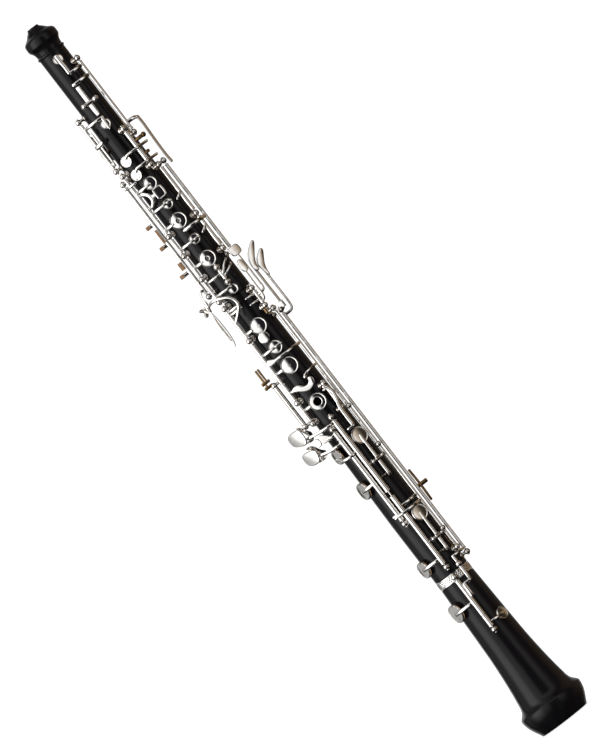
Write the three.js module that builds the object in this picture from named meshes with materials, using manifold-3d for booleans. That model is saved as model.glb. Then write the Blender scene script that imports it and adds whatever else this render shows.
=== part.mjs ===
// Oboe: three wooden joints with their bore, corks and ring, the rods and posts of the keywork, and every
// key as its own solid that turns on its rod.
// Millimetres. +Z runs up the bore with the bell at the bottom, the tone holes and plates face -Y, and the
// origin is the centre of the bell's rim. A station is a distance down from the top of the crown, and an
// angle is taken round the bore from the front (-Y) towards +X, in degrees.
import * as THREE from 'three';
import { mergeVertices } from 'three/addons/utils/BufferGeometryUtils.js';
import Module from 'manifold-3d';

const wasm = await Module();
wasm.setup();

// ---- driving dimensions ----
const LENGTH = 596;              // crown to bell rim, without a reed
const UPPER_END = 229;           // station where the upper joint meets the lower one
const BELL_TOP = 469;            // station where the lower joint meets the bell
const BELL_RING_END = 475.5;
const TENON = 18;                // length of each tenon
const TENON_RADIUS = 8;
const CORK_RADIUS = 9;
const SOCKET_RADIUS = 9.4;
const BELL_TENON_RADIUS = 9.6;
const BELL_CORK_RADIUS = 10.6;
const BELL_SOCKET_RADIUS = 11;
const REED_WELL_DEPTH = 24;
const REED_WELL_RADIUS = 3.45;
const BORE_TOP_RADIUS = 2.1;
const BORE_UPPER_END_RADIUS = 4.6;
const BORE_LOWER_END_RADIUS = 7.6;
const RING_RADIUS = 13.6;        // outside of the bell's metal ring
const BELL_RIM_RADIUS = 18.8;
const BELL_MOUTH_RADIUS = 16.9;
const GAP = 0.3;                 // clearance that every pair of neighbouring pieces keeps
const ROD_RADIUS = 0.6;
const RAIL_RADIUS = 1.3;
const TUBE_BORE = 0.95;
const POST_BALL = 2.2;
const POST_STEM = 1.2;
const POST_FLANGE = 2.4;
const AXLE_STEM = 1;             // stem and flange of the slimmer posts of a short axle
const AXLE_FLANGE = 1.9;
const ARM = 1.4;                 // thickness of a key's arm
const PAD_SEAT = 0.45;           // height of a closed pad over the wood
const OPEN_SEAT = 2.5;           // height of an open finger plate
const VENT_SEAT = 1.6;           // height of a small vent pad that stands open
const LOW_SEAT = 1.95;           // height of the large low pads that stand open
const BELL_SEAT = 2.5;
const CUP_HEIGHT = 2.2;
const ROUND = 20;                // sides of the wooden joints
const TUBE_SIDES = 8;
const CUP_SIDES = 14;
const POST_SIDES = 6;
const ROD_SIDES = 6;

// ---- materials ----
const metal = (color, roughness) => new THREE.MeshStandardMaterial({ color, roughness, metalness: 1 });
const plain = (color, roughness) => new THREE.MeshStandardMaterial({ color, roughness, metalness: 0 });
const BLACKWOOD = plain(0x1a191d, 0.38);
const CORK = plain(0xb58a5c, 0.9);
const SILVER = metal(0xe3e3e6, 0.16);
const STEEL = metal(0xc4c5c9, 0.25);
const RING_SILVER = metal(0xd8d8dc, 0.22);

// ---- the wooden outline: station and radius, from the crown to the bell's rim ----
const UPPER_OUTLINE = [
  [0, 4.3], [1, 4.5], [3, 6.5], [4.5, 8], [5.5, 9], [7, 11.5], [8.5, 12.6], [13, 12.6], [14.2, 12.1],
  [16, 10.8], [18, 10.2], [20, 10.1], [20.6, 10.9], [21.8, 10.9], [22.4, 10.1], [75, 10.1],
  [115, 10.7], [UPPER_END, 11.4],
];
const LOWER_OUTLINE = [[UPPER_END + GAP, 11.5], [370, 12.5], [400, 13], [420, 13.3], [BELL_TOP, 13.3]];
const BELL_OUTLINE = [
  [BELL_RING_END, 13.4], [490, 13.9], [510, 14.6], [532, 15.5], [542, 16.2], [552, 17.1], [561.6, 18.2],
  [571.4, 19.6], [574.3, 20.4], [576.8, 22.1], [578.8, 24.2], [580.2, 24.6], [582, 24.4], [586.1, 23.6],
  [591, 21.4], [LENGTH, BELL_RIM_RADIUS],
];

const height = (station) => LENGTH - station;
const angleOf = ([x, y]) => THREE.MathUtils.radToDeg(Math.atan2(x, -y));

function woodRadius(station) {
  const ring = [[BELL_TOP + GAP, RING_RADIUS], [BELL_RING_END - GAP, RING_RADIUS]];
  const outline = [...UPPER_OUTLINE, ...LOWER_OUTLINE, ...ring, ...BELL_OUTLINE];
  const next = outline.findIndex(([s]) => s >= station);
  if (next <= 0) return outline[0][1];
  const [s0, r0] = outline[next - 1];
  const [s1, r1] = outline[next];
  return r0 + (r1 - r0) * (station - s0) / (s1 - s0);
}

// ---- solids ----
function signedVolume(position, index) {
  const a = new THREE.Vector3();
  const b = new THREE.Vector3();
  const c = new THREE.Vector3();
  let volume = 0;
  for (let i = 0; i < index.length; i += 3) {
    a.fromBufferAttribute(position, index[i]);
    b.fromBufferAttribute(position, index[i + 1]);
    c.fromBufferAttribute(position, index[i + 2]);
    volume += a.dot(b.cross(c)) / 6;
  }
  return volume;
}

function solid(geometry) {
  const bare = geometry.clone();
  bare.deleteAttribute('normal');
  bare.deleteAttribute('uv');
  const merged = mergeVertices(bare, 1e-4);
  const all = Array.from(merged.index.array);
  const triangles = [];
  for (let i = 0; i < all.length; i += 3) {
    const [a, b, c] = all.slice(i, i + 3);
    if (a !== b && b !== c && c !== a) triangles.push(a, b, c);
  }
  if (signedVolume(merged.attributes.position, triangles) < 0) triangles.reverse();
  return new wasm.Manifold(new wasm.Mesh({
    numProp: 3,
    vertProperties: new Float32Array(merged.attributes.position.array),
    triVerts: new Uint32Array(triangles),
  }));
}

const join = (pieces) => pieces.reduce((whole, piece) => whole.add(piece));
const cut = (body, tools) => tools.reduce((rest, tool) => rest.subtract(tool), body);
const turnRound = (geometry, angle) => geometry.rotateZ(THREE.MathUtils.degToRad(angle));

// A ring or body turned on the bore's axis, from a closed outline of [station, radius].
function turned(outline) {
  const points = [...outline, outline[0]].map(([s, r]) => new THREE.Vector2(r, height(s)));
  return solid(new THREE.LatheGeometry(points, ROUND).rotateX(Math.PI / 2));
}

// A round bar parallel to the bore.
function rodAlong([x, y], from, to, radius, sides = TUBE_SIDES) {
  const geometry = new THREE.CylinderGeometry(radius, radius, to - from, sides).rotateX(Math.PI / 2);
  return solid(geometry.translate(x, y, height((from + to) / 2)));
}

// A round bar that points away from the bore, between two distances from its axis.
function rodOutward(angle, station, inner, outer, radius, sides = TUBE_SIDES, outerRadius = radius) {
  const geometry = new THREE.CylinderGeometry(radius, outerRadius, outer - inner, sides);
  geometry.translate(0, -(inner + outer) / 2, height(station));
  return solid(turnRound(geometry, angle));
}

// A post turned on an outward axis: a flange on the wood, a stem, and a ball at the rod.
function turnedPost([x, y], station, stem, flange, ballRadius) {
  const foot = woodRadius(station) + GAP;
  const reach = Math.hypot(x, y);
  const outline = [[0, foot], [flange, foot], [flange * 0.9, foot + 0.7], [stem, foot + 1],
    [stem, reach - ballRadius * 0.8], [ballRadius, reach - ballRadius * 0.3],
    [ballRadius, reach + ballRadius * 0.3], [stem * 0.8, reach + ballRadius * 0.9],
    [0, reach + ballRadius * 0.9]];
  const points = outline.map(([r, out]) => new THREE.Vector2(r, -out));
  const geometry = new THREE.LatheGeometry(points, POST_SIDES).translate(0, 0, height(station));
  return solid(turnRound(geometry, angleOf([x, y])));
}

// The outline of a bent strap of even thickness along a row of points.
function strip(points, thickness) {
  const sides = [[], []];
  points.forEach((point, i) => {
    const before = points[Math.max(i - 1, 0)];
    const after = points[Math.min(i + 1, points.length - 1)];
    const along = new THREE.Vector2(after[0] - before[0], after[1] - before[1]).normalize();
    const half = thickness / 2;
    sides[0].push(new THREE.Vector2(point[0] - along.y * half, point[1] + along.x * half));
    sides[1].unshift(new THREE.Vector2(point[0] + along.y * half, point[1] - along.x * half));
  });
  return new THREE.Shape([...sides[0], ...sides[1]]);
}

const extrude = (shape, depth) => new THREE.ExtrudeGeometry(shape, {
  depth, bevelEnabled: false, steps: 1, curveSegments: 6,
});

// A strap across the bore at one station, through points [x, y].
function strap(points, station, width, thickness = ARM) {
  const geometry = extrude(strip(points, thickness), width);
  return solid(geometry.translate(0, 0, height(station) - width / 2));
}

// Points that arch round the bore from one place to another, humped in the middle.
function arch([x0, y0], [x1, y1], hump = 0, steps = 6) {
  const polar = (x, y) => [Math.atan2(x, -y), Math.hypot(x, y)];
  const [a0, r0] = polar(x0, y0);
  const [a1, r1] = polar(x1, y1);
  return Array.from({ length: steps + 1 }, (_, i) => {
    const t = i / steps;
    const a = a0 + (a1 - a0) * t;
    const r = r0 + (r1 - r0) * t + hump * Math.sin(Math.PI * t);
    return [r * Math.sin(a), -r * Math.cos(a)];
  });
}

// A flat plate that faces outward at an angle: its outline is [across, station], its inner face lies at
// the distance given.
function plate(outline, inner, thickness, angle = 0) {
  const shape = new THREE.Shape(outline.map(([across, s]) => new THREE.Vector2(across, height(s))));
  const geometry = extrude(shape, thickness).rotateX(Math.PI / 2).translate(0, -inner, 0);
  return solid(turnRound(geometry, angle));
}

// The same plate from a curved strip of even width.
function ribbon(points, width, inner, thickness, angle = 0) {
  const line = points.map(([across, s]) => [across, height(s)]);
  const geometry = extrude(strip(line, width), thickness).rotateX(Math.PI / 2).translate(0, -inner, 0);
  return solid(turnRound(geometry, angle));
}

const smooth = (points, steps) => new THREE.SplineCurve(points.map(([a, b]) => new THREE.Vector2(a, b)))
  .getPoints(steps).map(({ x, y }) => [x, y]);

const oval = (across, station, halfAcross, halfAlong, sides = 12) => Array.from({ length: sides }, (_, i) => {
  const turn = 2 * Math.PI * i / sides;
  return [across + halfAcross * Math.cos(turn), station + halfAlong * Math.sin(turn)];
});

// A bar parallel to the bore through [x, y].
function bar([x, y], from, to, width, thickness) {
  const geometry = new THREE.BoxGeometry(width, thickness, to - from);
  return solid(geometry.translate(x, y, height((from + to) / 2)));
}

// A pad cup over the wood: seat is the height of its underside.
function cup(angle, station, radius, seat, rise = CUP_HEIGHT, sides = CUP_SIDES) {
  const inner = woodRadius(station) + seat;
  return rodOutward(angle, station, inner, inner + rise, radius, sides, radius * 0.9);
}

// ---- rows: a rod parallel to the bore with the posts it screws into ----
const ROWS = {
  side_octave: { at: [11.8, -8.8], posts: [35.5, 99] },
  thumb_octave: { at: [-14.5, -4.2], posts: [71, 113] },
  trill: { at: [7.2, -12.6], posts: [93, 123.5] },
  upper_left: { at: [-13, -8], posts: [118.6, 170.3, 187, 207, 226.4] },
  upper_left_outer: { at: [-16.4, -3.4], posts: [123, 219] },
  upper_right_inner: { at: [11.6, -10], posts: [126.8, 168.5, 198.5] },
  upper_right_outer: { at: [15.8, -5.2], posts: [126.6, 203.4] },
  front_link: { at: [0.2, -15.6], posts: [206.6, 218.8] },
  left_little_finger: { at: [10.5, -11.8], posts: [232.2, 247] },
  lower_left: {
    at: [-13, -9.8], posts: [232.5, 260, 313.5, 331], rail: { at: [-18.2, -3.6], posts: [294.5, 329.6] },
  },
  lower_right_inner: { at: [13.8, -9.8], posts: [252, 457] },
  lower_right_outer: { at: [17.2, -6], posts: [256, 464] },
  centre_long: { at: [-0.5, -17.4], posts: [335, 463.5] },
  centre_short: { at: [-5, -16.7], posts: [342, 423] },
  fork_lever: { at: [9.5, -13.4], posts: [313.5, 334] },
  bell: { at: [-0.5, -18.6], posts: [472.4, 517] },
};

// A row may have a plain rail beside its rod; a foot joins the rail's last post to the row's own.
function row({ at, posts, rail }) {
  const rod = rodAlong(at, posts[0], posts[posts.length - 1], ROD_RADIUS, ROD_SIDES);
  const pieces = [rod, ...posts.map((station) => turnedPost(at, station, POST_STEM, POST_FLANGE, POST_BALL))];
  if (rail) {
    const [from, to] = rail.posts;
    pieces.push(rodAlong(rail.at, from, to, RAIL_RADIUS));
    for (const station of rail.posts) {
      pieces.push(turnedPost(rail.at, station, POST_STEM, POST_FLANGE, POST_BALL));
    }
    const foot = woodRadius(to) + GAP + ARM / 2;
    const onFoot = (place) => place.map((value) => value * foot / Math.hypot(...place));
    pieces.push(strap(arch(onFoot(at), onFoot(rail.at)), to, POST_FLANGE));
  }
  return join(pieces);
}

// A short axle across the front, with its two posts. The axle runs square to the outward direction.
const AXLES = {
  octave_rocker: { station: 65, angle: 0, distance: 13.9, half: 4.6, ball: 1.9 },
  upper_lever: { station: 376.5, angle: 27.5, distance: 16.9, half: 4.1, ball: 1.6 },
  lower_lever: { station: 443, angle: 27.5, distance: 17.2, half: 4.1, ball: 1.6 },
};

function axlePlace({ angle, distance }, across) {
  const turn = THREE.MathUtils.degToRad(angle);
  return [
    across * Math.cos(turn) + distance * Math.sin(turn),
    across * Math.sin(turn) - distance * Math.cos(turn),
  ];
}

function axleBar(axle, half, radius, sides = ROD_SIDES) {
  const geometry = new THREE.CylinderGeometry(radius, radius, 2 * half, sides).rotateZ(Math.PI / 2);
  geometry.translate(0, -axle.distance, height(axle.station));
  return solid(turnRound(geometry, axle.angle));
}

function axle(which) {
  const pieces = [axleBar(which, which.half, ROD_RADIUS)];
  for (const side of [-1, 1]) {
    const end = axlePlace(which, side * which.half);
    pieces.push(turnedPost(end, which.station, AXLE_STEM, AXLE_FLANGE, which.ball));
  }
  return join(pieces);
}

// ---- keys ----
// A key is a tube on its row's rod with arms, cups and touches joined to it, and the rod's bore cut through.
function key(rowName, from, to, radius, pieces) {
  const { at } = ROWS[rowName];
  const tube = rodAlong(at, from, to, radius);
  const bore = rodAlong(at, from - 40, to + 40, TUBE_BORE);
  return cut(join([tube, ...pieces]), [bore]);
}

const place = (name) => ROWS[name].at;
// A place on the front at x, with its distance over the wood.
function over(x, station, lift) {
  const r = woodRadius(station) + lift;
  return [x, -Math.sqrt(r * r - x * x)];
}

// An arm that arches from its row to a cup, with the cup under its end.
function cupArm(rowName, station, width, x, cupStation, radius, seat, hump = 0.6) {
  const lift = seat + CUP_HEIGHT - 0.3 + ARM / 2;
  const end = over(x, cupStation, lift);
  return [
    strap(arch(place(rowName), end, hump), station, width),
    cup(angleOf(end), cupStation, radius, seat),
  ];
}

const sideOctaveKey = () => key('side_octave', 38, 96.5, 1.3, [
  strap(arch(place('side_octave'), over(1.3, 41, 3)), 41, 2),
  plate([[-0.2, 42], [2.8, 42], [2.6, 29], [0, 29]], woodRadius(35) + 2.2, ARM),
  strap([over(0.6, 41, 2.2), over(2, 41, 3.4)], 41, 2),
  cup(4, 28.5, 3.75, PAD_SEAT),
  strap(arch(place('side_octave'), over(-2, 49, 3.3)), 49, 2),
  strap([place('side_octave'), [15.5, -8.2], [19.5, -6.6]], 92, 2.4),
  plate(smooth([[-7, 91], [-2.5, 96], [-2, 110], [-3.5, 124], [-5.5, 130], [-8.5, 124], [-9.5, 108], [-9, 95]],
    20), 18.6, 1.5, 90),
]);

const octaveRocker = () => {
  const which = AXLES.octave_rocker;
  const body = plate([[-1.6, 51.4], [1.3, 51.4], [1.7, 63], [1.7, 67], [1.2, 75.6], [-1.4, 75.6], [-1.9, 67],
    [-1.9, 63]], which.distance - 0.8, 1.6);
  const barrel = axleBar(which, 2.1, 1.6, TUBE_SIDES);
  return cut(join([body, barrel]), [axleBar(which, 8, TUBE_BORE, TUBE_SIDES)]);
};

const thumbOctaveKey = () => key('thumb_octave', 73.6, 110.4, 1.3, [
  strap(arch(place('thumb_octave'), over(0.8, 77.8, 2.4)), 77.8, 2.4),
  plate([[-1.4, 76.8], [1.8, 76.8], [1.6, 83], [0.2, 87.5], [-0.8, 83]], woodRadius(80) + 1.8, ARM),
  cup(-1.5, 83, 3.75, PAD_SEAT),
  strap(arch(place('thumb_octave'), [-9.4, 10.9], 0.6), 99, 3),
  plate(oval(0, 99, 4.5, 7), 14, 1.6, -139),
  strap([place('thumb_octave'), [-16.2, -8], [-10, -12]], 93, 1.8),
]);

const trillKey = (from, to, station, cupStation) => () => key('trill', from, to, 1.7, [
  strap([[-4.2, -13.6], [0, -14.9], [4, -15], ...arch([8.5, -13.6], [15.4, -7.6], 0.4, 3)], station, 1.9),
  rodOutward(-20, station + 1.4, woodRadius(cupStation) + 1.6, 14.6, 1.2),
  cup(-23, cupStation, 4.1, PAD_SEAT),
]);

const halfHoleKey = () => key('upper_left', 121, 147.6, 1.3, [
  ...cupArm('upper_left', 134, 2, -1, 133.5, 4.8, VENT_SEAT),
  strap(arch(place('upper_left'), over(-6.5, 146.5, 3.9)), 146.4, 1.8),
  plate([[-7.5, 147.3], [-7.5, 139], [-3, 137.6], [3, 137.6], [4, 139], [4, 145.6], [3, 146.6], [-3, 146.6]],
    woodRadius(142) + 2.6, ARM),
]);

const ventKey = (from, to, station, cupStation, radius) => () => key('upper_left', from, to, 1.3, [
  ...cupArm('upper_left', station, 2, 0, cupStation, radius, VENT_SEAT),
  strap(arch(over(-0.5, station, 4.1), over(3.6, station, 4.3), 0, 2), station, 2),
]);

const upperPlate = (from, to, station) => () => key('upper_left', from, to, 1.3, [
  ...cupArm('upper_left', station, 2.2, -0.5, station, 5.9, OPEN_SEAT, 0),
]);

const upperLink = (from, to, station, tip) => () => key('upper_right_inner', from, to, 1.4, [
  strap(arch(place('upper_right_inner'), over(tip, station, 3.6)), station, 1.6),
]);

const trillLever = () => key('upper_right_outer', 129.4, 200.6, 1.2, [
  strap(arch(place('upper_right_outer'), over(-2.6, 173.5, 5.2), 3.2, 8), 173.6, 2.6),
]);

const frontLink = () => key('front_link', 209.2, 216.2, 1.5, [
  strap(arch(place('front_link'), over(-11.2, 211.7, 5.2), 0.6), 211.7, 1.8),
  strap(arch(place('front_link'), over(8.8, 214.6, 4.6), 0.4), 214.8, 1.6),
]);

const sideTrillKey = () => key('upper_left_outer', 125.8, 216.2, 1.3, [
  strap(arch(place('upper_left_outer'), over(-8.6, 127.4, 5.6), 1.9), 127.4, 1.8),
  strap([place('upper_left_outer'), [-18.6, -6.2], [-22.2, -6.4]], 213.4, 2.2),
  plate(smooth([[-21.2, 212.4], [-21.4, 222], [-23.4, 228], [-25, 238], [-24.6, 252], [-22.6, 257], [-20.6, 252],
    [-20.7, 238], [-20.2, 226], [-19.4, 212.4]], 20), 5.6, 1.5),
]);

const gSharpCup = () => key('upper_left', 209.8, 223.8, 1.3, [
  ...cupArm('upper_left', 222.8, 2, 0, 225, 3.7, PAD_SEAT, 0.4),
]);

const gSharpKey = () => key('left_little_finger', 234.8, 239.7, 1.5, [
  strap(arch(place('left_little_finger'), over(2.6, 236, 4)), 236, 1.6),
  strap([place('left_little_finger'), [14.6, -13.2], [17.6, -12.6]], 238.4, 1.8),
  bar([17, -12.6], 207, 239.3, 1.8, 1.4),
  plate([[12.4, 201.5], [19.4, 201.2], [21, 203], [20.8, 208], [14, 208.6], [12.2, 206]], 11.9, 1.5),
]);

const leftDSharpLever = () => key('left_little_finger', 240.2, 244.5, 1.5, [
  strap(arch(place('left_little_finger'), over(2.6, 241.2, 4)), 241.2, 1.6),
  strap([place('left_little_finger'), [12.6, -15.6], [14.2, -16.2]], 243.4, 1.8),
  bar([13.8, -16], 213, 244.3, 1.6, 1.4),
  plate(oval(14.4, 216.4, 2.9, 5), 15.4, 1.4),
]);

const leftBLever = () => key('lower_right_inner', 254.7, 454.3, 1.1, [
  strap([place('lower_right_inner'), [16, -12.2], [21.4, -9]], 256, 2),
  ribbon(smooth([[20.8, 257], [20.6, 240], [20.4, 222], [22, 214], [29, 207.6]], 16), 2.2, 8.4, 1.5),
  strap(arch(place('lower_right_inner'), over(6.6, 412, 1.9)), 412, 2.4),
  strap(arch(place('lower_right_inner'), [-9.4, -16.5], 0.6, 8), 281.4, 2.2),
  plate([[-7, 280.6], [-8.6, 278.9], [-11.4, 278], [-13, 279.4], [-13.2, 281.4], [-12.6, 282.6], [-7, 282.5]],
    15.9, ARM),
]);

const leftBFlatLever = () => key('lower_right_outer', 258.7, 461.3, 1.1, [
  strap([place('lower_right_outer'), [21, -5.6], [25.4, -4.6]], 260.4, 3),
  ribbon(smooth([[24.8, 261.9], [24.8, 244], [24.6, 230], [26, 222], [31, 216]], 14), 2.2, 3.9, 1.5),
  strap(arch(place('lower_right_outer'), [7.6, -16.4], 1.4), 460.5, 2),
  bar([7.6, -16.4], 459.5, 471.5, 2.2, 1.2),
]);

const rightFirstPlate = () => key('lower_left', 235.2, 257.3, 1.3, [
  ...cupArm('lower_left', 255.5, 2.2, -1.5, 255.5, 5.8, OPEN_SEAT, 0),
  plate([[-4, 257], [0, 257], [0.2, 266], [-2.4, 268.2], [-5.6, 266.6], [-5.8, 263.4]],
    woodRadius(260) + OPEN_SEAT + 0.3, ARM),
]);

const lowerVentKey = () => key('lower_left', 262.7, 278.6, 1.3, [
  ...cupArm('lower_left', 274, 2.2, -1.5, 274, 4.9, VENT_SEAT),
  strap(arch(over(-1.5, 274, 4.1), over(3.5, 274, 4.3), 0, 2), 274, 2),
]);

const rightSecondPlate = () => key('lower_left', 279.1, 297.4, 1.3, [
  ...cupArm('lower_left', 289.6, 2.4, -1.5, 289.7, 6.1, OPEN_SEAT, 0),
]);

const crescentKey = () => key('lower_left', 297.9, 310.9, 1.3, [
  strap(arch(place('lower_left'), over(-5.4, 305.4, 4.1), 0.2), 305.4, 2),
  plate(smooth([[6.4, 305.6], [5.4, 308.6], [2.6, 310.8], [-1, 311.3], [-4.6, 309.8], [-8.2, 306.6],
    [-8.4, 304.4], [-2.6, 304.2], [-2.2, 306.6], [0.4, 308.2], [3, 307.4], [3.6, 305], [5, 304.4]], 26),
  woodRadius(306) + OPEN_SEAT + 0.2, 1.7),
]);

const rightThirdPlate = () => key('lower_left', 316.2, 328.3, 1.3, [
  ...cupArm('lower_left', 320.6, 2.2, -1.5, 321, 6.1, OPEN_SEAT, 0),
]);

const forkLever = () => key('fork_lever', 316.2, 331.3, 1.5, [
  strap(arch(place('fork_lever'), over(8.6, 330, 7), 0.2, 2), 330.2, 2),
  bar([8.7, -17.2], 329.4, 349.6, 1.8, 1.4),
  strap(arch([8.4, -17.2], over(4, 348.6, 5.6), 0, 3), 348.6, 1.8),
  strap(arch(place('fork_lever'), over(4.4, 317.4, 2)), 317.4, 2),
]);

const lowCKey = () => key('centre_long', 337.7, 398.6, 1.8, [
  strap([place('centre_long'), [-5, -20], [-12, -18.6], [-22.6, -11.4]], 338.9, 2),
  plate([[-22, 328], [-31, 327.6], [-33, 330], [-32.6, 336.4], [-24, 340], [-21.6, 339]], 10.7, 1.6),
  strap([place('centre_long'), [-5, -20], [-10.4, -18.8], [-14.8, -12]], 364.5, 2.2),
  cup(-60, 359.5, 5.9, LOW_SEAT),
  rodOutward(-52, 363.6, woodRadius(364) + LOW_SEAT + 1.4, 19, 1.1),
  strap(arch(place('centre_long'), over(8.4, 388.5, 1.4), -0.9), 388.5, 2.2),
]);

const dSharpKey = () => key('centre_short', 344.7, 350.6, 1.7, [
  strap([place('centre_short'), [-8.4, -16.6], [-13, -14.6]], 346, 2.2),
  plate([[-9.6, 347], [-9.4, 343.6], [-14.4, 340.4], [-19.6, 340.4], [-20.6, 343.4], [-19.4, 346.6]], 14, 1.5),
]);

const lowCSharpKey = () => key('centre_short', 351.1, 420.2, 1.7, [
  strap([place('centre_short'), [-10, -17], [-17, -14.2], [-24, -10]], 353.4, 2),
  plate([[-22, 344.6], [-31.6, 343.6], [-33, 346], [-32.4, 352.6], [-29.6, 354.6], [-22, 354.6]], 9.4, 1.6),
  ...cupArm('centre_short', 388.8, 2.4, -15, 388.8, 6.6, LOW_SEAT, 0.8),
  strap([place('centre_short'), [-7, -14.9], [-8.6, -14.4]], 415.3, 2),
]);

const lowBKey = () => key('centre_long', 402.6, 460.9, 1.8, [
  strap(arch(place('centre_long'), over(8.2, 412, 4.6)), 412, 2.2),
  strap(arch(place('centre_long'), over(8, 453, 1.3), -0.9), 453, 2),
  ...cupArm('centre_long', 456.4, 2.4, -15.2, 456.4, 6.3, LOW_SEAT, 0.8),
]);

const leverCup = (which, cupStation, tail, radius) => () => {
  const inner = which.distance - 0.8;
  const wood = woodRadius(cupStation);
  return cut(join([
    plate([[-1.3, tail], [1.3, tail], [1.3, which.station], [1, cupStation], [-1, cupStation],
      [-1.3, which.station]], inner, ARM, which.angle),
    axleBar(which, 2, 1.6, TUBE_SIDES),
    rodOutward(which.angle, cupStation, wood + LOW_SEAT, wood + LOW_SEAT + 2, radius, CUP_SIDES, radius * 0.9),
  ]), [axleBar(which, 8, TUBE_BORE, TUBE_SIDES)]);
};

const bellKey = () => key('bell', 475.2, 504.4, 1.8, [
  ...cupArm('bell', 493.8, 2.4, -15.9, 493.4, 7, BELL_SEAT),
  strap(arch(place('bell'), [7.6, -18.4]), 480, 2.2),
  bar([7.6, -18.3], 466, 481.1, 2.2, 1.4),
]);

const bellVentKey = () => key('bell', 504.9, 514.2, 1.8, [
  ...cupArm('bell', 511.6, 2.2, 11.4, 511.6, 4.7, PAD_SEAT, 0.6),
]);

// ---- wooden joints ----
function toneHole(angle, station, radius) {
  return rodOutward(angle, station, 0.5, woodRadius(station) + 3, radius, TUBE_SIDES);
}

const UPPER_HOLES = [[4, 28.5, 1], [-1.5, 83, 1], [-23, 112, 1.8], [-23, 123.5, 1.8], [-3, 133.5, 1.6],
  [0, 152, 1.4], [-2, 165.5, 2.2], [0, 182, 1.6], [-2, 198, 2.3], [0, 224.5, 1.8]];
const LOWER_HOLES = [[-6, 255.5, 2.6], [-6, 274, 2.2], [-6, 289.7, 2.9], [-5, 321, 3], [-60, 359.5, 3.4],
  [27.5, 356.5, 3.2], [-60, 388.8, 3.8], [27.5, 423, 3.6], [-60, 456.4, 3.8]];
const BELL_HOLES = [[-61, 493.4, 4.2], [50, 511.6, 2.4]];

const upperJoint = () => cut(turned([
  ...UPPER_OUTLINE, [UPPER_END, TENON_RADIUS], [UPPER_END + TENON, TENON_RADIUS],
  [UPPER_END + TENON, BORE_UPPER_END_RADIUS], [REED_WELL_DEPTH, BORE_TOP_RADIUS],
  [REED_WELL_DEPTH, REED_WELL_RADIUS], [0, REED_WELL_RADIUS],
]), UPPER_HOLES.map((hole) => toneHole(...hole)));

const lowerJoint = () => cut(turned([
  ...LOWER_OUTLINE, [BELL_TOP, BELL_TENON_RADIUS], [BELL_TOP + TENON, BELL_TENON_RADIUS],
  [BELL_TOP + TENON, BORE_LOWER_END_RADIUS], [UPPER_END + TENON + GAP, BORE_UPPER_END_RADIUS],
  [UPPER_END + TENON + GAP, SOCKET_RADIUS], [UPPER_END + GAP, SOCKET_RADIUS],
]), LOWER_HOLES.map((hole) => toneHole(...hole)));

const RING_SEAT = 12.2;          // radius of the wood under the bell's ring
const bell = () => cut(turned([
  [BELL_TOP + GAP, RING_SEAT], [BELL_RING_END, RING_SEAT], ...BELL_OUTLINE,
  [LENGTH, BELL_MOUTH_RADIUS], [588, 16.4], [570, 15], [540, 12.2], [510, 9.6],
  [BELL_TOP + TENON + GAP, 8], [BELL_TOP + TENON + GAP, BELL_SOCKET_RADIUS],
  [BELL_TOP + GAP, BELL_SOCKET_RADIUS],
]), BELL_HOLES.map((hole) => toneHole(...hole)));

const ring = (from, to, inner, outer) => () => turned([[from, inner], [from, outer], [to, outer], [to, inner]]);

const bellRing = ring(BELL_TOP + GAP, BELL_RING_END - GAP, RING_SEAT + GAP, RING_RADIUS);
const upperCork = ring(UPPER_END + 1.5, UPPER_END + TENON - 1, TENON_RADIUS + GAP, CORK_RADIUS);
const lowerCork = ring(BELL_TOP + 1.5, BELL_TOP + TENON - 1, BELL_TENON_RADIUS + GAP, BELL_CORK_RADIUS);

// The thumb rest: a screwed plate on the back with a hook that stands out from it.
function thumbRest() {
  const station = 322;
  const back = woodRadius(station) + GAP + 0.6;
  return join([
    plate([[-5, station - 13], [5, station - 13], [5, station + 13], [-5, station + 13]], back, 1.6, 180),
    plate([[-5, station], [5, station], [5, station + 2.4], [-5, station + 2.4]], back, 15, 180),
  ]);
}

// ---- the assembly ----
const assembly = new THREE.Group();

function add(name, body, material) {
  const { vertProperties, triVerts, numProp } = body.getMesh();
  const geometry = new THREE.BufferGeometry();
  const positions = new Float32Array(vertProperties.length / numProp * 3);
  for (let i = 0; i < positions.length / 3; i += 1) {
    positions.set(vertProperties.slice(i * numProp, i * numProp + 3), i * 3);
  }
  geometry.setAttribute('position', new THREE.BufferAttribute(positions, 3));
  geometry.setIndex(new THREE.BufferAttribute(triVerts, 1));
  geometry.computeVertexNormals();
  const mesh = new THREE.Mesh(geometry, material);
  mesh.name = name;
  assembly.add(mesh);
}

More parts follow.
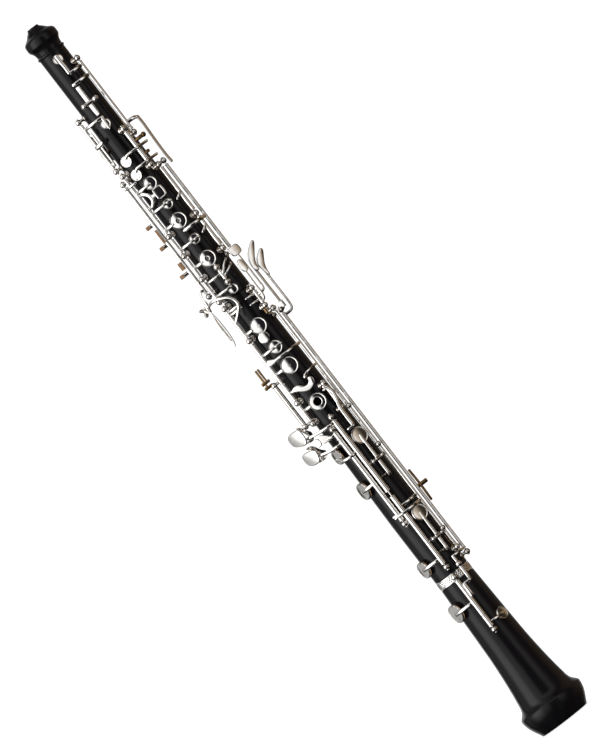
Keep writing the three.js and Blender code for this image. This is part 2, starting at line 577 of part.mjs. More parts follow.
const WOODWORK = { upper_joint: upperJoint, lower_joint: lowerJoint, bell };
const CORKS = { upper_tenon_cork: upperCork, lower_tenon_cork: lowerCork };
const KEYS = {
  side_octave_key: sideOctaveKey,
  octave_rocker: octaveRocker,
  thumb_octave_key: thumbOctaveKey,
  c_trill_key: trillKey(95.8, 110.6, 109, 112),
  d_trill_key: trillKey(111.1, 121, 120.2, 123.5),
  half_hole_key: halfHoleKey,
  first_vent_key: ventKey(148.2, 156, 151.2, 152, 3.9),
  left_second_plate: upperPlate(156.5, 167.5, 165.5),
  second_vent_key: ventKey(173, 184.4, 182.4, 182, 4.1),
  left_third_plate: upperPlate(189.6, 204.4, 198),
  upper_link: upperLink(129.6, 165.8, 154.4, 6.2),
  lower_link: upperLink(171.3, 195.8, 185.8, 6.2),
  trill_lever: trillLever,
  front_link_key: frontLink,
  side_trill_key: sideTrillKey,
  g_sharp_cup: gSharpCup,
  g_sharp_key: gSharpKey,
  left_d_sharp_lever: leftDSharpLever,
  left_b_lever: leftBLever,
  left_b_flat_lever: leftBFlatLever,
  right_first_plate: rightFirstPlate,
  lower_vent_key: lowerVentKey,
  right_second_plate: rightSecondPlate,
  crescent_key: crescentKey,
  right_third_plate: rightThirdPlate,
  fork_lever: forkLever,
  low_c_key: lowCKey,
  low_c_sharp_key: lowCSharpKey,
  d_sharp_key: dSharpKey,
  low_b_key: lowBKey,
  upper_lever_cup: leverCup(AXLES.upper_lever, 356.5, 390, 6.2),
  lower_lever_cup: leverCup(AXLES.lower_lever, 423, 454.4, 6),
  bell_key: bellKey,
  bell_vent_key: bellVentKey,
};

for (const [name, make] of Object.entries(WOODWORK)) add(name, make(), BLACKWOOD);
for (const [name, make] of Object.entries(CORKS)) add(name, make(), CORK);
add('bell_ring', bellRing(), RING_SILVER);
add('thumb_rest', thumbRest(), SILVER);
for (const [name, place] of Object.entries(ROWS)) add(`${name}_rod`, row(place), STEEL);
for (const [name, which] of Object.entries(AXLES)) add(`${name}_axle`, axle(which), STEEL);
for (const [name, make] of Object.entries(KEYS)) add(name, make(), SILVER);

export default assembly;
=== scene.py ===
# Oboe: finely made wood, keys, pads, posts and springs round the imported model.
# Lengths are in millimetres and scaled to metres when a piece is finished. A station is a distance down
# from the top of the crown, an angle goes round the bore from the front (-Y) towards +X, and a place on a
# key is (across, station, distance from the bore's axis or lift over the wood).
import bpy
import bmesh
from math import atan2, cos, degrees, hypot, pi, radians, sin, sqrt
from mathutils import Matrix, Vector

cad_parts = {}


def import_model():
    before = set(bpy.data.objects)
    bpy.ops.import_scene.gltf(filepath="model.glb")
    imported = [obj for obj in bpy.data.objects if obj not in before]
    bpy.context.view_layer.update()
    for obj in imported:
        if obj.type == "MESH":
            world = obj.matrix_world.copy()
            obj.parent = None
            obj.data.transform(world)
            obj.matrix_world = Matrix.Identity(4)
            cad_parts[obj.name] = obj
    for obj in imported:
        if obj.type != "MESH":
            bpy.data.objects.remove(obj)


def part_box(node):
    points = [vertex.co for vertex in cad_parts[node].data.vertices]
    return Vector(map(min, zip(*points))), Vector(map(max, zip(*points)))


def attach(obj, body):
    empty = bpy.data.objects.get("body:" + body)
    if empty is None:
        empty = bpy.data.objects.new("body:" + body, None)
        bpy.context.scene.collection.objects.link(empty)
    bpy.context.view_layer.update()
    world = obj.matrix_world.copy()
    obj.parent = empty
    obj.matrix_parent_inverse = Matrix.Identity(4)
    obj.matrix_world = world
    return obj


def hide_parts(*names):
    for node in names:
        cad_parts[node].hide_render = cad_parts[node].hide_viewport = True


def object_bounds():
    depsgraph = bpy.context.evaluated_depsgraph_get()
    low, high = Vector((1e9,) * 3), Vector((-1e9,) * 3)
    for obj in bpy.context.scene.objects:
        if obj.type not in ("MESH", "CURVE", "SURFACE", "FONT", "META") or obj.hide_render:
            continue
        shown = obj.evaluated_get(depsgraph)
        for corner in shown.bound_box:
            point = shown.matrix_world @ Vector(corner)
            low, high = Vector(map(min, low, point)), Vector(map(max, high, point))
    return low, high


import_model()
cad_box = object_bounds()

MM = 0.001
LENGTH = cad_box[1][2] / MM
CUP_HEIGHT = 2.2
ARM = 1.5           # an arm's thickness
ROD = 0.6           # a rod's radius
PEG_ANGLE = -82     # where the side trill key's pegs stand round the bore

# how far each kind of pad stands over the wood at rest
PAD_SEAT = 0.45
OPEN_SEAT = 2.5
VENT_SEAT = 1.6
LOW_SEAT = 1.95
BELL_SEAT = 2.5


# ---- places ----

def height(station):
    return LENGTH - station


def angle_of(x, y):
    return degrees(atan2(x, -y))


UPPER_OUTLINE = [(22.5, 10.1), (75, 10.1), (115, 10.7), (229, 11.4)]
LOWER_OUTLINE = [(229.3, 11.5), (370, 12.5), (400, 13), (420, 13.3), (469, 13.3)]
RING_OUTLINE = [(469.3, 13.6), (475.2, 13.6)]
BELL_OUTLINE = [(475.5, 13.4), (490, 13.9), (510, 14.6), (532, 15.5), (542, 16.2), (552, 17.1),
                (561.6, 18.2), (571.4, 19.6), (574.3, 20.4)]


def wood_radius(station):
    """The wood's radius at any station that a key or a post stands at."""
    outline = [(0, 10.1)] + UPPER_OUTLINE + LOWER_OUTLINE + RING_OUTLINE + BELL_OUTLINE
    for (s0, r0), (s1, r1) in zip(outline, outline[1:]):
        if station <= s1:
            return r0 + (r1 - r0) * (station - s0) / (s1 - s0)
    return outline[-1][1]


def at(x, y, station):
    return Vector((x, y, height(station)))


def over(x, station, lift):
    """A place on the front at x, at a lift over the wood."""
    r = wood_radius(station) + lift
    return at(x, -sqrt(max(r * r - x * x, 0.01)), station)


def polar(angle, distance, station):
    turn = radians(angle)
    return at(distance * sin(turn), -distance * cos(turn), station)


def arch(start, end, hump=0.0, steps=8):
    """Places that arch round the bore from one to the other."""
    a0, r0 = atan2(start.x, -start.y), hypot(start.x, start.y)
    a1, r1 = atan2(end.x, -end.y), hypot(end.x, end.y)
    places = []
    for i in range(steps + 1):
        t = i / steps
        a = a0 + (a1 - a0) * t
        r = r0 + (r1 - r0) * t + hump * sin(pi * t)
        places.append(Vector((r * sin(a), -r * cos(a), start.z + (end.z - start.z) * t)))
    return places


def bend(p0, p1, p2, p3, t):
    """A place on the smooth path that passes from p1 to p2."""
    return 0.5 * (2 * p1 + (p2 - p0) * t + (2 * p0 - 5 * p1 + 4 * p2 - p3) * t ** 2
                  + (3 * p1 - p0 - 3 * p2 + p3) * t ** 3)


def smooth(places, steps=5):
    """A smooth path through a few places."""
    ends = [places[0] * 2 - places[1]] + list(places) + [places[-1] * 2 - places[-2]]
    path = [bend(*four, i / steps) for four in zip(ends, ends[1:], ends[2:], ends[3:]) for i in range(steps)]
    return path + [places[-1]]


# ---- shapes: each gives a bmesh in millimetres ----

def cleaned(bm):
    bmesh.ops.remove_doubles(bm, verts=bm.verts, dist=1e-4)
    bmesh.ops.recalc_face_normals(bm, faces=bm.faces)
    return bm


def turned(profile, place=Matrix(), steps=28, closed=False):
    """A profile of (radius, height) turned on Z, then placed."""
    bm = bmesh.new()
    verts = [bm.verts.new((r, 0, h)) for r, h in profile]
    pairs = list(zip(verts, verts[1:])) + ([(verts[-1], verts[0])] if closed else [])
    edges = [bm.edges.new(pair) for pair in pairs]
    bmesh.ops.spin(bm, geom=verts + edges, cent=(0, 0, 0), axis=(0, 0, 1), dvec=(0, 0, 0),
                   angle=2 * pi, steps=steps, use_merge=True, use_duplicate=False)
    cleaned(bm)
    bmesh.ops.transform(bm, matrix=place, verts=bm.verts)
    return bm


def outward(angle, station, distance=0.0):
    """Places a piece turned on Z so that its height points away from the bore."""
    return (Matrix.Translation((0, 0, height(station))) @ Matrix.Rotation(radians(angle), 4, 'Z')
            @ Matrix.Translation((0, -distance, 0)) @ Matrix.Rotation(pi / 2, 4, 'X'))


def tube(place_a, place_b, radius, sides=20, chamfer=0.25):
    """A round bar between two places, with its ends chamfered."""
    run = place_b - place_a
    length = run.length
    profile = [(0, 0), (radius - chamfer, 0), (radius, chamfer), (radius, length - chamfer),
               (radius - chamfer, length), (0, length)]
    turn = Vector((0, 0, 1)).rotation_difference(run.normalized()).to_matrix().to_4x4()
    return turned(profile, Matrix.Translation(place_a) @ turn, sides)


def swept(path, width, thickness, tip=0.55, taper=(1, 1), sides=12):
    """A bar of oval section along a path, its thickness pointing away from the bore. taper gives the
    width's share at each end, and tip rounds the two ends off."""
    bm = bmesh.new()
    bmesh.ops.create_circle(bm, cap_ends=False, segments=sides, radius=0.5)
    ring = list(bm.verts)
    frames = []
    for i, place in enumerate(path):
        along = (path[min(i + 1, len(path) - 1)] - path[max(i - 1, 0)]).normalized()
        out = Vector((place.x, place.y, 0)).normalized()
        side = along.cross(out).normalized()
        out = side.cross(along).normalized()
        size = width * (taper[0] + (taper[1] - taper[0]) * i / (len(path) - 1))
        frames.append((place, side * size, out * thickness, along))
    stations = [(frames[0], tip, -0.35 * thickness)]
    stations += [(item, 1.0, 0.0) for item in frames]
    stations += [(frames[-1], tip, 0.35 * thickness)]

    def matrix(item):
        (place, side, out, along), scale, shift = item
        m = Matrix((side * scale, out * scale, along)).transposed().to_4x4()
        m.translation = place + along * shift
        return m

    bmesh.ops.transform(bm, matrix=matrix(stations[0]), verts=ring)
    for last, item in zip(stations, stations[1:]):
        edges = [e for e in bm.edges if e.verts[0] in ring and e.verts[1] in ring]
        made = bmesh.ops.extrude_edge_only(bm, edges=edges)['geom']
        ring = [g for g in made if isinstance(g, bmesh.types.BMVert)]
        bmesh.ops.transform(bm, matrix=matrix(item) @ matrix(last).inverted(), verts=ring)
    bmesh.ops.holes_fill(bm, edges=[e for e in bm.edges if e.is_boundary], sides=0)
    return cleaned(bm)


def sphere(place, radius):
    bm = bmesh.new()
    bmesh.ops.create_uvsphere(bm, u_segments=16, v_segments=10, radius=radius)
    bmesh.ops.translate(bm, vec=place, verts=bm.verts)
    return bm


def plate(outline, inner, thickness, angle=0.0, edge=0.45, rounds=2, tilt=0.0):
    """A flat plate facing outward, from an outline of (across, station), with its edges rounded. tilt
    leans it round an upright line through its own middle."""
    bm = bmesh.new()
    face = bm.faces.new([bm.verts.new((across, -inner, height(s))) for across, s in outline])
    made = bmesh.ops.extrude_face_region(bm, geom=[face])['geom']
    raised = [g for g in made if isinstance(g, bmesh.types.BMVert)]
    bmesh.ops.translate(bm, vec=(0, -thickness, 0), verts=raised)
    rims = [e for e in bm.edges if abs(e.verts[0].co.y - e.verts[1].co.y) < 1e-6]
    bmesh.ops.bevel(bm, geom=rims, offset=edge, offset_type='OFFSET', segments=rounds, profile=0.5,
                    affect='EDGES', clamp_overlap=True, material=-1)
    middle = sum(across for across, _ in outline) / len(outline)
    bmesh.ops.rotate(bm, cent=(middle, -inner, 0), matrix=Matrix.Rotation(radians(tilt), 3, 'Z'),
                     verts=bm.verts)
    bmesh.ops.rotate(bm, cent=(0, 0, 0), matrix=Matrix.Rotation(radians(angle), 3, 'Z'), verts=bm.verts)
    return cleaned(bm)


def curve(points, steps=4):
    """A smooth closed outline through a few (across, station) points."""
    count = len(points)
    corners = [[Vector(points[(i + k - 1) % count]) for k in range(4)] for i in range(count)]
    return [tuple(bend(*four, j / steps)) for four in corners for j in range(steps)]


def arc(radius, start, end, steps, rise):
    """Points of a profile's round stretch on its axis, by angle in degrees."""
    turns = [radians(start + (end - start) * i / steps) for i in range(steps + 1)]
    return [(radius * cos(turn), rise + radius * sin(turn)) for turn in turns]


def post(x, y, station, ball=2.2, stem=1.15, flange=2.4):
    """A post turned on an outward axis: a flange, a waisted stem and a ball."""
    foot = wood_radius(station) + 0.1
    reach = hypot(x, y) - foot
    profile = [(0, 0), (flange, 0), (flange, 0.35), (flange * 0.92, 0.6), (flange * 0.6, 0.75),
               (stem * 1.25, 1.0), (stem, 1.4), (stem * 0.95, reach - ball * 1.1)]
    profile += arc(ball, -62, 90, 9, reach)
    profile[-1] = (0, reach + ball)
    return turned(profile, outward(angle_of(x, y), station, foot), 24)


# ---- pads and cups: shapes by kind, heights over the pad's seat ----

def pad_profile(radius, hole=0.0):
    return [(hole, 0), (radius - 0.5, 0), (radius - 0.12, 0.15), (radius, 0.5), (radius, 1.0), (hole, 1.0)]


def dome(edge, inner, low, rise, steps=6):
    """Points of a shallow dome's section from its edge in to a radius."""
    radii = [edge + (inner - edge) * i / steps for i in range(steps + 1)]
    return [(r, low + rise * (1 - (r / edge) ** 2)) for r in radii]


def cup_profile(kind, radius):
    """The cup over its pad: a plain or drilled plate, an open ring, a small vent or a large low cup."""
    r = radius
    side = [(0, 0.9), (r, 0.9), (r + 0.12, 1.4), (r, 1.85), (r - 0.25, 2.1), (r - 0.6, 2.1), (r - 0.8, 1.95)]
    if kind == 'plain plate':
        return side + dome(r - 0.9, 1.6, 1.98, 0.42) + [(1.5, 2.45), (1.2, 2.47), (1.1, 2.38), (0, 2.4)]
    if kind == 'drilled plate':
        rim = [(2.1, 2.5), (1.6, 2.55), (1.3, 2.45), (1.15, 1.2), (0, 1.2)]
        return side + dome(r - 0.9, 2.2, 1.98, 0.42) + rim
    if kind == 'open ring':
        return ([(3.0, 0.9)] + side[1:] + dome(r - 0.9, 3.6, 1.98, 0.3, 4)
                + [(3.5, 2.45), (3.2, 2.5), (2.95, 2.35), (2.9, 1.2), (3.0, 0.9)])
    if kind == 'vent':
        return side + dome(r - 0.9, 0.0, 1.98, 0.35)
    return side + dome(r - 0.9, 0.0, 1.95, 0.3, 8)


# ---- finished pieces ----

def combined(shapes):
    whole = bmesh.new()
    for bm in shapes:
        mesh = bpy.data.meshes.new('part')
        bm.to_mesh(mesh)
        bm.free()
        whole.from_mesh(mesh)
        bpy.data.meshes.remove(mesh)
    return whole


def mesh_of(name, shapes):
    """One mesh in metres from shapes in millimetres."""
    bm = combined(shapes)
    bmesh.ops.scale(bm, vec=(MM, MM, MM), verts=bm.verts)
    mesh = bpy.data.meshes.new(name)
    bm.to_mesh(mesh)
    bm.free()
    return mesh


def shaded(mesh, sharp):
    mesh.shade_smooth()
    mesh.set_sharp_from_angle(angle=radians(sharp))


def object_of(name, data):
    obj = bpy.data.objects.new(name, data)
    bpy.context.scene.collection.objects.link(obj)
    return obj


def piece(name, shapes, material, body, replaces=(), sharp=38):
    """One object from its shapes, which rides on a body and may stand for CAD nodes."""
    mesh = mesh_of(name, shapes)
    shaded(mesh, sharp)
    mesh.materials.append(material)
    obj = object_of(name, mesh)
    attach(obj, body)
    if replaces:
        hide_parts(*replaces)
    return obj


# ---- materials ----

def wired(tree, made, inputs):
    """Sets a node's inputs, each to a fixed value or to the output that feeds it."""
    for key, value in inputs.items():
        if isinstance(value, bpy.types.NodeSocket):
            tree.links.new(value, made.inputs[key])
        else:
            made.inputs[key].default_value = value
    return made


def node(tree, kind, inputs=None, **settings):
    made = tree.nodes.new(f'ShaderNode{kind}')
    for key, value in settings.items():
        setattr(made, key, value)
    return wired(tree, made, inputs or {})


def group(name, inputs, outputs):
    """A shader group with its number inputs and their values, and its number outputs."""
    tree = bpy.data.node_groups.new(name, 'ShaderNodeTree')
    for label, value in inputs.items():
        tree.interface.new_socket(label, in_out='INPUT', socket_type='NodeSocketFloat').default_value = value
    for label in outputs:
        tree.interface.new_socket(label, in_out='OUTPUT', socket_type='NodeSocketFloat')
    return tree, tree.nodes.new('NodeGroupInput').outputs, tree.nodes.new('NodeGroupOutput')


def blended(tree, factor, low, high, **settings):
    """Two colours mixed by a factor."""
    return node(tree, 'Mix', {'Factor': factor, 'A': low, 'B': high}, data_type='RGBA',
                **settings).outputs['Result']


def ranged(tree, value, start=(0.0, 1.0), end=(0.0, 1.0)):
    """A value moved from one range to another."""
    return node(tree, 'MapRange', {'Value': value, 'From Min': start[0], 'From Max': start[1],
                                   'To Min': end[0], 'To Max': end[1]}).outputs['Result']


def bumped(tree, relief, strength, distance):
    return node(tree, 'Bump', {'Strength': strength, 'Distance': distance,
                               'Height': relief}).outputs['Normal']


def noise(tree, place, **inputs):
    return node(tree, 'TexNoise', {'Vector': place, **inputs}).outputs['Fac']


def own_place(tree):
    """A point's place on its own piece."""
    return node(tree, 'TexCoord').outputs['Object']


def handling_group():
    """Fingermarks and faint polishing scratches: a mask for roughness and a height for bump."""
    tree, given, wanted = group('handling_marks', {'Smudge Scale': 120.0, 'Scratch Scale': 900.0},
                                ('Smudge', 'Scratch'))
    place = own_place(tree)
    smudge = noise(tree, place, Scale=given['Smudge Scale'], Detail=4.0, Roughness=0.6)
    stretch = node(tree, 'Mapping', {'Scale': (1.0, 1.0, 0.12), 'Vector': place}).outputs['Vector']
    scratch = noise(tree, stretch, Scale=given['Scratch Scale'], Detail=3.0, Roughness=0.7)
    wired(tree, wanted, {'Smudge': ranged(tree, smudge, (0.42, 0.7)), 'Scratch': scratch})
    return tree


def grain_group():
    """Long fine pores along the bore: a mask for colour and a height for bump."""
    tree, given, wanted = group('wood_grain', {'Pore Scale': 900.0, 'Stretch': 0.03}, ('Streak', 'Pore'))
    squeeze = node(tree, 'CombineXYZ', {'X': 1.0, 'Y': 1.0, 'Z': given['Stretch']}).outputs['Vector']
    stretch = node(tree, 'VectorMath', {0: own_place(tree), 1: squeeze}, operation='MULTIPLY').outputs[0]
    pores = noise(tree, stretch, Scale=given['Pore Scale'], Detail=5.0, Roughness=0.65)
    streak = noise(tree, stretch, Scale=160.0, Detail=3.0)
    wired(tree, wanted, {'Pore': ranged(tree, pores, (0.52, 0.72)), 'Streak': streak})
    return tree


def material(name, principled):
    made = bpy.data.materials.new(name)
    made.use_nodes = True
    return made, made.node_tree, wired(made.node_tree, made.node_tree.nodes['Principled BSDF'], principled)


def dressed(tree, shader, colour, rough, bump):
    """Sets a material's colour, roughness and bump, each from a texture's output and two values."""
    tone, low, high = colour
    wear, smoothest, roughest = rough
    wired(tree, shader, {'Base Color': blended(tree, tone, (*low, 1), (*high, 1)),
                         'Roughness': ranged(tree, wear, end=(smoothest, roughest)),
                         'Normal': bumped(tree, *bump)})


def plated(name, low, high, rough, marks, scratch, scales=(140.0, 1500.0)):
    """Polished metal: two close tones, smudged roughness and fine scratches."""
    made, tree, shader = material(name, {'Metallic': 1.0})
    wear = node(tree, 'Group', dict(zip(('Smudge Scale', 'Scratch Scale'), scales)), node_tree=marks).outputs
    dressed(tree, shader, (wear['Smudge'], high, low), (wear['Smudge'], *rough),
            (wear['Scratch'], scratch, 0.0002))
    return made


def blackwood_material(grain):
    made, tree, shader = material('blackwood', {'Specular IOR Level': 0.2})
    lines = node(tree, 'Group', {'Pore Scale': 1100.0, 'Stretch': 0.035}, node_tree=grain).outputs
    dressed(tree, shader, (lines['Streak'], (0.0012, 0.0011, 0.0014), (0.0052, 0.0042, 0.005)),
            (lines['Pore'], 0.22, 0.38), (lines['Pore'], 0.22, 0.00006))
    return made


def dull(name, kind, values, output, tones, rough, bump):
    """A dull material whose colour, roughness and bump all follow one fine texture."""
    made, tree, shader = material(name, {})
    fine = node(tree, kind, {**values, 'Vector': own_place(tree)}).outputs[output]
    dressed(tree, shader, (fine, *tones), (fine, *rough), (fine, *bump))
    return made


marks_group = handling_group()
BLACKWOOD = blackwood_material(grain_group())
SILVER = plated('silver_plate', (0.76, 0.73, 0.69), (0.93, 0.915, 0.89), (0.05, 0.13), marks_group, 0.015)
STEEL = plated('rod_steel', (0.55, 0.51, 0.46), (0.84, 0.81, 0.77), (0.08, 0.18), marks_group, 0.02)
RING_METAL = plated('ring_metal', (0.7, 0.68, 0.66), (0.9, 0.89, 0.87), (0.14, 0.26), marks_group, 0.1,
                    (120.0, 900.0))
GILT = plated('spring_gilt', (0.12, 0.07, 0.03), (0.3, 0.19, 0.09), (0.24, 0.4), marks_group, 0.1)
CORK = dull('sheet_cork', 'TexVoronoi', {'Scale': 700.0}, 'Distance',
            ((0.36, 0.21, 0.11), (0.13, 0.07, 0.03)), (0.75, 0.95), (0.4, 0.0002))
# the thin brown skin drawn over a felt pad
SKIN = dull('pad_skin', 'TexNoise', {'Scale': 1400.0, 'Detail': 4.0, 'Roughness': 0.7}, 'Fac',
            ((0.36, 0.19, 0.08), (0.62, 0.42, 0.24)), (0.45, 0.7), (0.25, 0.00015))


# ---- camera, light and floor ----

VIEW_CENTRE = Vector((2.4, 0, 295)) * MM
VIEW_DISTANCE = 6.0
VIEW_TILT = radians(37.6)    # how far the camera is rolled, so that the instrument lies aslant
LENS = 422
SENSOR = 36
FLOOR_RADIUS = 40
FLOOR_DROP = 0.0004
BACKDROP_LEVEL = 1.12

# the tent round the instrument: (degrees from the front, towards the right, and the level there as a
# share of the hot panel), then the gap cut in it for the lens
HOT_PANEL = 3.4
LENS_BLACK = (0.012, 0.011, 0.013)
WALLS = [(-180, 0.006), (-172, 0.006), (-165, 0.28), (-151, 0.3), (-141, (0.03, 0.025, 0.02)),
         (-128, (0.006, 0.0045, 0.003)), (-120, 0.14), (-112, 0.12), (-100, 0.13), (-92, 0.2), (-84, 0.4),
         (-76, 0.95), (-48, 0.95), (-40, 0.38), (20, 0.33), (38, 0.3), (50, (0.15, 0.125, 0.1)),
         (60, (0.01, 0.008, 0.006)), (82, (0.01, 0.008, 0.006)), (96, (0.09, 0.062, 0.036)),
         (132, (0.07, 0.048, 0.028)), (144, (0.004, 0.003, 0.002)), (151, 0.12), (165, 0.16),
         (172, 0.006), (180, 0.006)]
LENS_GAP = [(-180, 1.0), (-15, 1.0), (-9, LENS_BLACK), (22, LENS_BLACK), (30, 1.0), (180, 1.0)]

# levels from straight down (0) to straight up (1): of the tent, and of the lens's gap
TENT_RISE = [(0, 0.0), (0.24, 0.04), (0.42, 1.0), (0.8, 1.0), (1, 0.25)]
GAP_RISE = [(0, 0.0), (0.2, 0.0), (0.27, 1.0), (0.73, 1.0), (0.82, 0.0), (1, 0.0)]
WHITE = (1, 1, 1, 1)


def camera():
    data = bpy.data.cameras.new('camera')
    data.lens = LENS
    data.sensor_width = SENSOR
    data.sensor_fit = 'VERTICAL'
    data.sensor_height = SENSOR
    obj = object_of('camera', data)
    obj.matrix_world = (Matrix.Translation(VIEW_CENTRE + Vector((0, -VIEW_DISTANCE, 0)))
                        @ Matrix.Rotation(VIEW_TILT, 4, 'Y') @ Matrix.Rotation(pi / 2, 4, 'X'))
    bpy.context.scene.camera = obj


def floor():
    bm = bmesh.new()
    bmesh.ops.create_circle(bm, cap_ends=True, segments=96, radius=FLOOR_RADIUS)
    bmesh.ops.translate(bm, vec=(0, 0, -FLOOR_DROP), verts=bm.verts)
    mesh = bpy.data.meshes.new('floor')
    bm.to_mesh(mesh)
    bm.free()
    made, tree, shader = material('floor_paper', {'Base Color': (0.3, 0.3, 0.3, 1), 'Roughness': 0.9,
                                                  'Emission Color': WHITE, 'Emission Strength': 0.75})
    wired(tree, shader, {'Normal': bumped(tree, noise(tree, own_place(tree), Scale=300.0), 0.05, 0.0005)})
    mesh.materials.append(made)
    obj = object_of('floor', mesh)
    obj.visible_glossy = False


def shade_of(tone):
    return (*tone, 1) if isinstance(tone, tuple) else (tone, tone, tone, 1)


def ramp_of(tree, stops, along):
    """A colour ramp from (position, tone) stops, tone being a grey level or a colour."""
    made = node(tree, 'ValToRGB', {'Fac': along})
    elements = made.color_ramp.elements
    for position, tone in stops[1:-1]:
        elements.new(position).color = shade_of(tone)
    for element, (position, tone) in ((elements[0], stops[0]), (elements[-1], stops[-1])):
        element.position, element.color = position, shade_of(tone)
    return made.outputs['Color']


def world():
    """A white room for the camera. Polished parts see a tent with one hot panel on the left, a dark gap
    round the lens, brown and black cloth on the right, strips of light and shadow behind, and a dark
    floor."""
    made = bpy.data.worlds.new('studio')
    bpy.context.scene.world = made
    made.use_nodes = True
    tree = made.node_tree
    backdrop = wired(tree, tree.nodes['Background'], {'Color': WHITE, 'Strength': BACKDROP_LEVEL})
    seen = node(tree, 'TexCoord').outputs['Generated']
    parts = node(tree, 'SeparateXYZ', {'Vector': seen}).outputs
    toward = node(tree, 'Math', {0: parts['Y'], 1: -1.0}, operation='MULTIPLY').outputs['Value']
    turn = node(tree, 'Math', {0: parts['X'], 1: toward}, operation='ARCTAN2').outputs['Value']
    share = ranged(tree, turn, (-pi, pi))
    lift = ranged(tree, parts['Z'], (-1.0, 1.0))
    walls, gap = (ramp_of(tree, [(way / 360 + 0.5, tone) for way, tone in stops], share)
                  for stops in (WALLS, LENS_GAP))
    rise, gap_rise = (ramp_of(tree, stops, lift) for stops in (TENT_RISE, GAP_RISE))
    lens = blended(tree, gap_rise, WHITE, gap)
    opened = blended(tree, 1.0, walls, lens, blend_type='MULTIPLY')
    shade = blended(tree, 1.0, opened, rise, blend_type='MULTIPLY')
    tent = node(tree, 'Background', {'Strength': HOT_PANEL, 'Color': shade}).outputs['Background']
    glossy = node(tree, 'LightPath').outputs['Is Glossy Ray']
    mix = node(tree, 'MixShader', {'Fac': glossy, 1: backdrop.outputs['Background'], 2: tent})
    wired(tree, tree.nodes['World Output'], {'Surface': mix.outputs['Shader']})


def lamp(name, place, size, power):
    data = bpy.data.lights.new(name, 'AREA')
    data.size = size
    data.energy = power
    obj = object_of(name, data)
    obj.location = place
    aim = VIEW_CENTRE - Vector(place)
    obj.rotation_euler = aim.to_track_quat('-Z', 'Y').to_euler()
    obj.visible_glossy = False


camera()
floor()
world()
lamp('left_softbox', (-1.6, -0.8, 0.7), 1.0, 8)
lamp('right_softbox', (1.5, -0.3, 0.9), 0.9, 4)
bpy.context.scene.view_settings.view_transform = 'Standard'


# ---- the wooden joints ----

UPPER_HOLES = [(4, 28.5, 1), (-1.5, 83, 1), (-23, 112, 1.8), (-23, 123.5, 1.8), (-3, 133.5, 1.6),
               (0, 152, 1.4), (-2, 165.5, 2.2), (0, 182, 1.6), (-2, 198, 2.3), (0, 225, 1.8)]
LOWER_HOLES = [(-6, 255.5, 2.6), (-6, 274, 2.2), (-6, 289.7, 2.9), (-5, 321, 3), (-60, 359.5, 3.4),
               (27.5, 356.5, 3.2), (-60, 388.8, 3.8), (27.5, 423, 3.6), (-60, 456.4, 3.8)]
BELL_HOLES = [(-61, 493.4, 4.2), (50, 511.6, 2.4)]


LONG_RUN = 6
RUN_STEP = 14


def filled(outline):
    """The outline with more points along its long straight runs."""
    fine = []
    for (s, r), (s2, r2) in zip(outline, outline[1:]):
        fine.append((s, r))
        if s2 - s > LONG_RUN:
            steps = max(2, int((s2 - s) / RUN_STEP))
            fine += [(s + (s2 - s) * k / steps, r + (r2 - r) * k / steps) for k in range(1, steps)]
    return fine + [outline[-1]]


def drilled(obj, holes):
    """Cuts the tone holes through a joint's wall."""
    cutters = [turned([(0, 0), (r * 0.92, 0), (r * 0.92, 14), (r * 1.25, 15.2), (r * 1.3, 30), (0, 30)],
                      outward(angle, station, 2.0 if r < 1.2 else wood_radius(station) - 15), 32)
               for angle, station, r in holes]
    drills = object_of('drills', mesh_of('drills', cutters))
    cut = obj.modifiers.new('tone_holes', 'BOOLEAN')
    cut.operation = 'DIFFERENCE'
    cut.object = drills
    cut.solver = 'EXACT'
    deps = bpy.context.evaluated_depsgraph_get()
    done = bpy.data.meshes.new_from_object(obj.evaluated_get(deps))
    obj.modifiers.clear()
    obj.data = done
    bpy.data.objects.remove(drills)
    shaded(done, WOOD_SHARP)


CROWN_OUTLINE = [(0, 4.1), (0.25, 4.35), (1, 4.5), (1.8, 5.2), (3, 6.6), (4.5, 8.0), (5.4, 8.9), (6.0, 9.9),
                 (6.8, 11.2), (7.6, 12.0), (8.6, 12.5), (10.5, 12.62), (12.6, 12.6), (13.4, 12.4),
                 (14.2, 11.9), (15.2, 11.2), (16.4, 10.6), (18, 10.2), (20, 10.05), (20.35, 10.4),
                 (20.7, 10.8), (21.2, 10.92), (21.7, 10.8), (22.1, 10.4)]


WOOD_SHARP = 30


def wooden(name, outline, inside, holes):
    """A turned joint from its outside, down the bore, and its inside, back up."""
    profile = [(r, height(s)) for s, r in filled(outline) + inside]
    obj = piece(f'{name}_wood', [turned(profile, steps=96, closed=True)], BLACKWOOD, 'body',
                [name], sharp=WOOD_SHARP)
    drilled(obj, holes)


wooden('upper_joint', CROWN_OUTLINE + UPPER_OUTLINE[:-1] + [(228.6, 11.4), (229, 11.1)],
       [(229, 8.0), (247, 8.0), (247, 4.6), (24, 2.1), (24, 3.3), (0.5, 3.45), (0, 3.7)], UPPER_HOLES)
wooden('lower_joint', [(229.3, 11.2), (229.7, 11.5)] + LOWER_OUTLINE[1:-1] + [(468.7, 13.3), (469, 13.1)],
       [(469, 9.6), (487, 9.6), (487, 7.6), (247.3, 4.6), (247.3, 9.4), (229.3, 9.4)], LOWER_HOLES)
wooden('bell', [(469.3, 12.2), (475.4, 12.2), (475.6, 13.2), (476, 13.4)] + BELL_OUTLINE[1:]
       + [(575.6, 21.2), (576.9, 22.3), (578.2, 23.6), (579.2, 24.4), (580.2, 24.6), (582, 24.45),
          (584, 24.1), (586.1, 23.6), (588.6, 22.6), (591, 21.4), (593.6, 20.0), (595.6, 19.0), (596, 18.7)],
       [(596, 17.2), (595.4, 16.9), (588, 16.4), (570, 15), (540, 12.2), (510, 9.6), (487.3, 8),
        (487.3, 11), (469.3, 11)], BELL_HOLES)

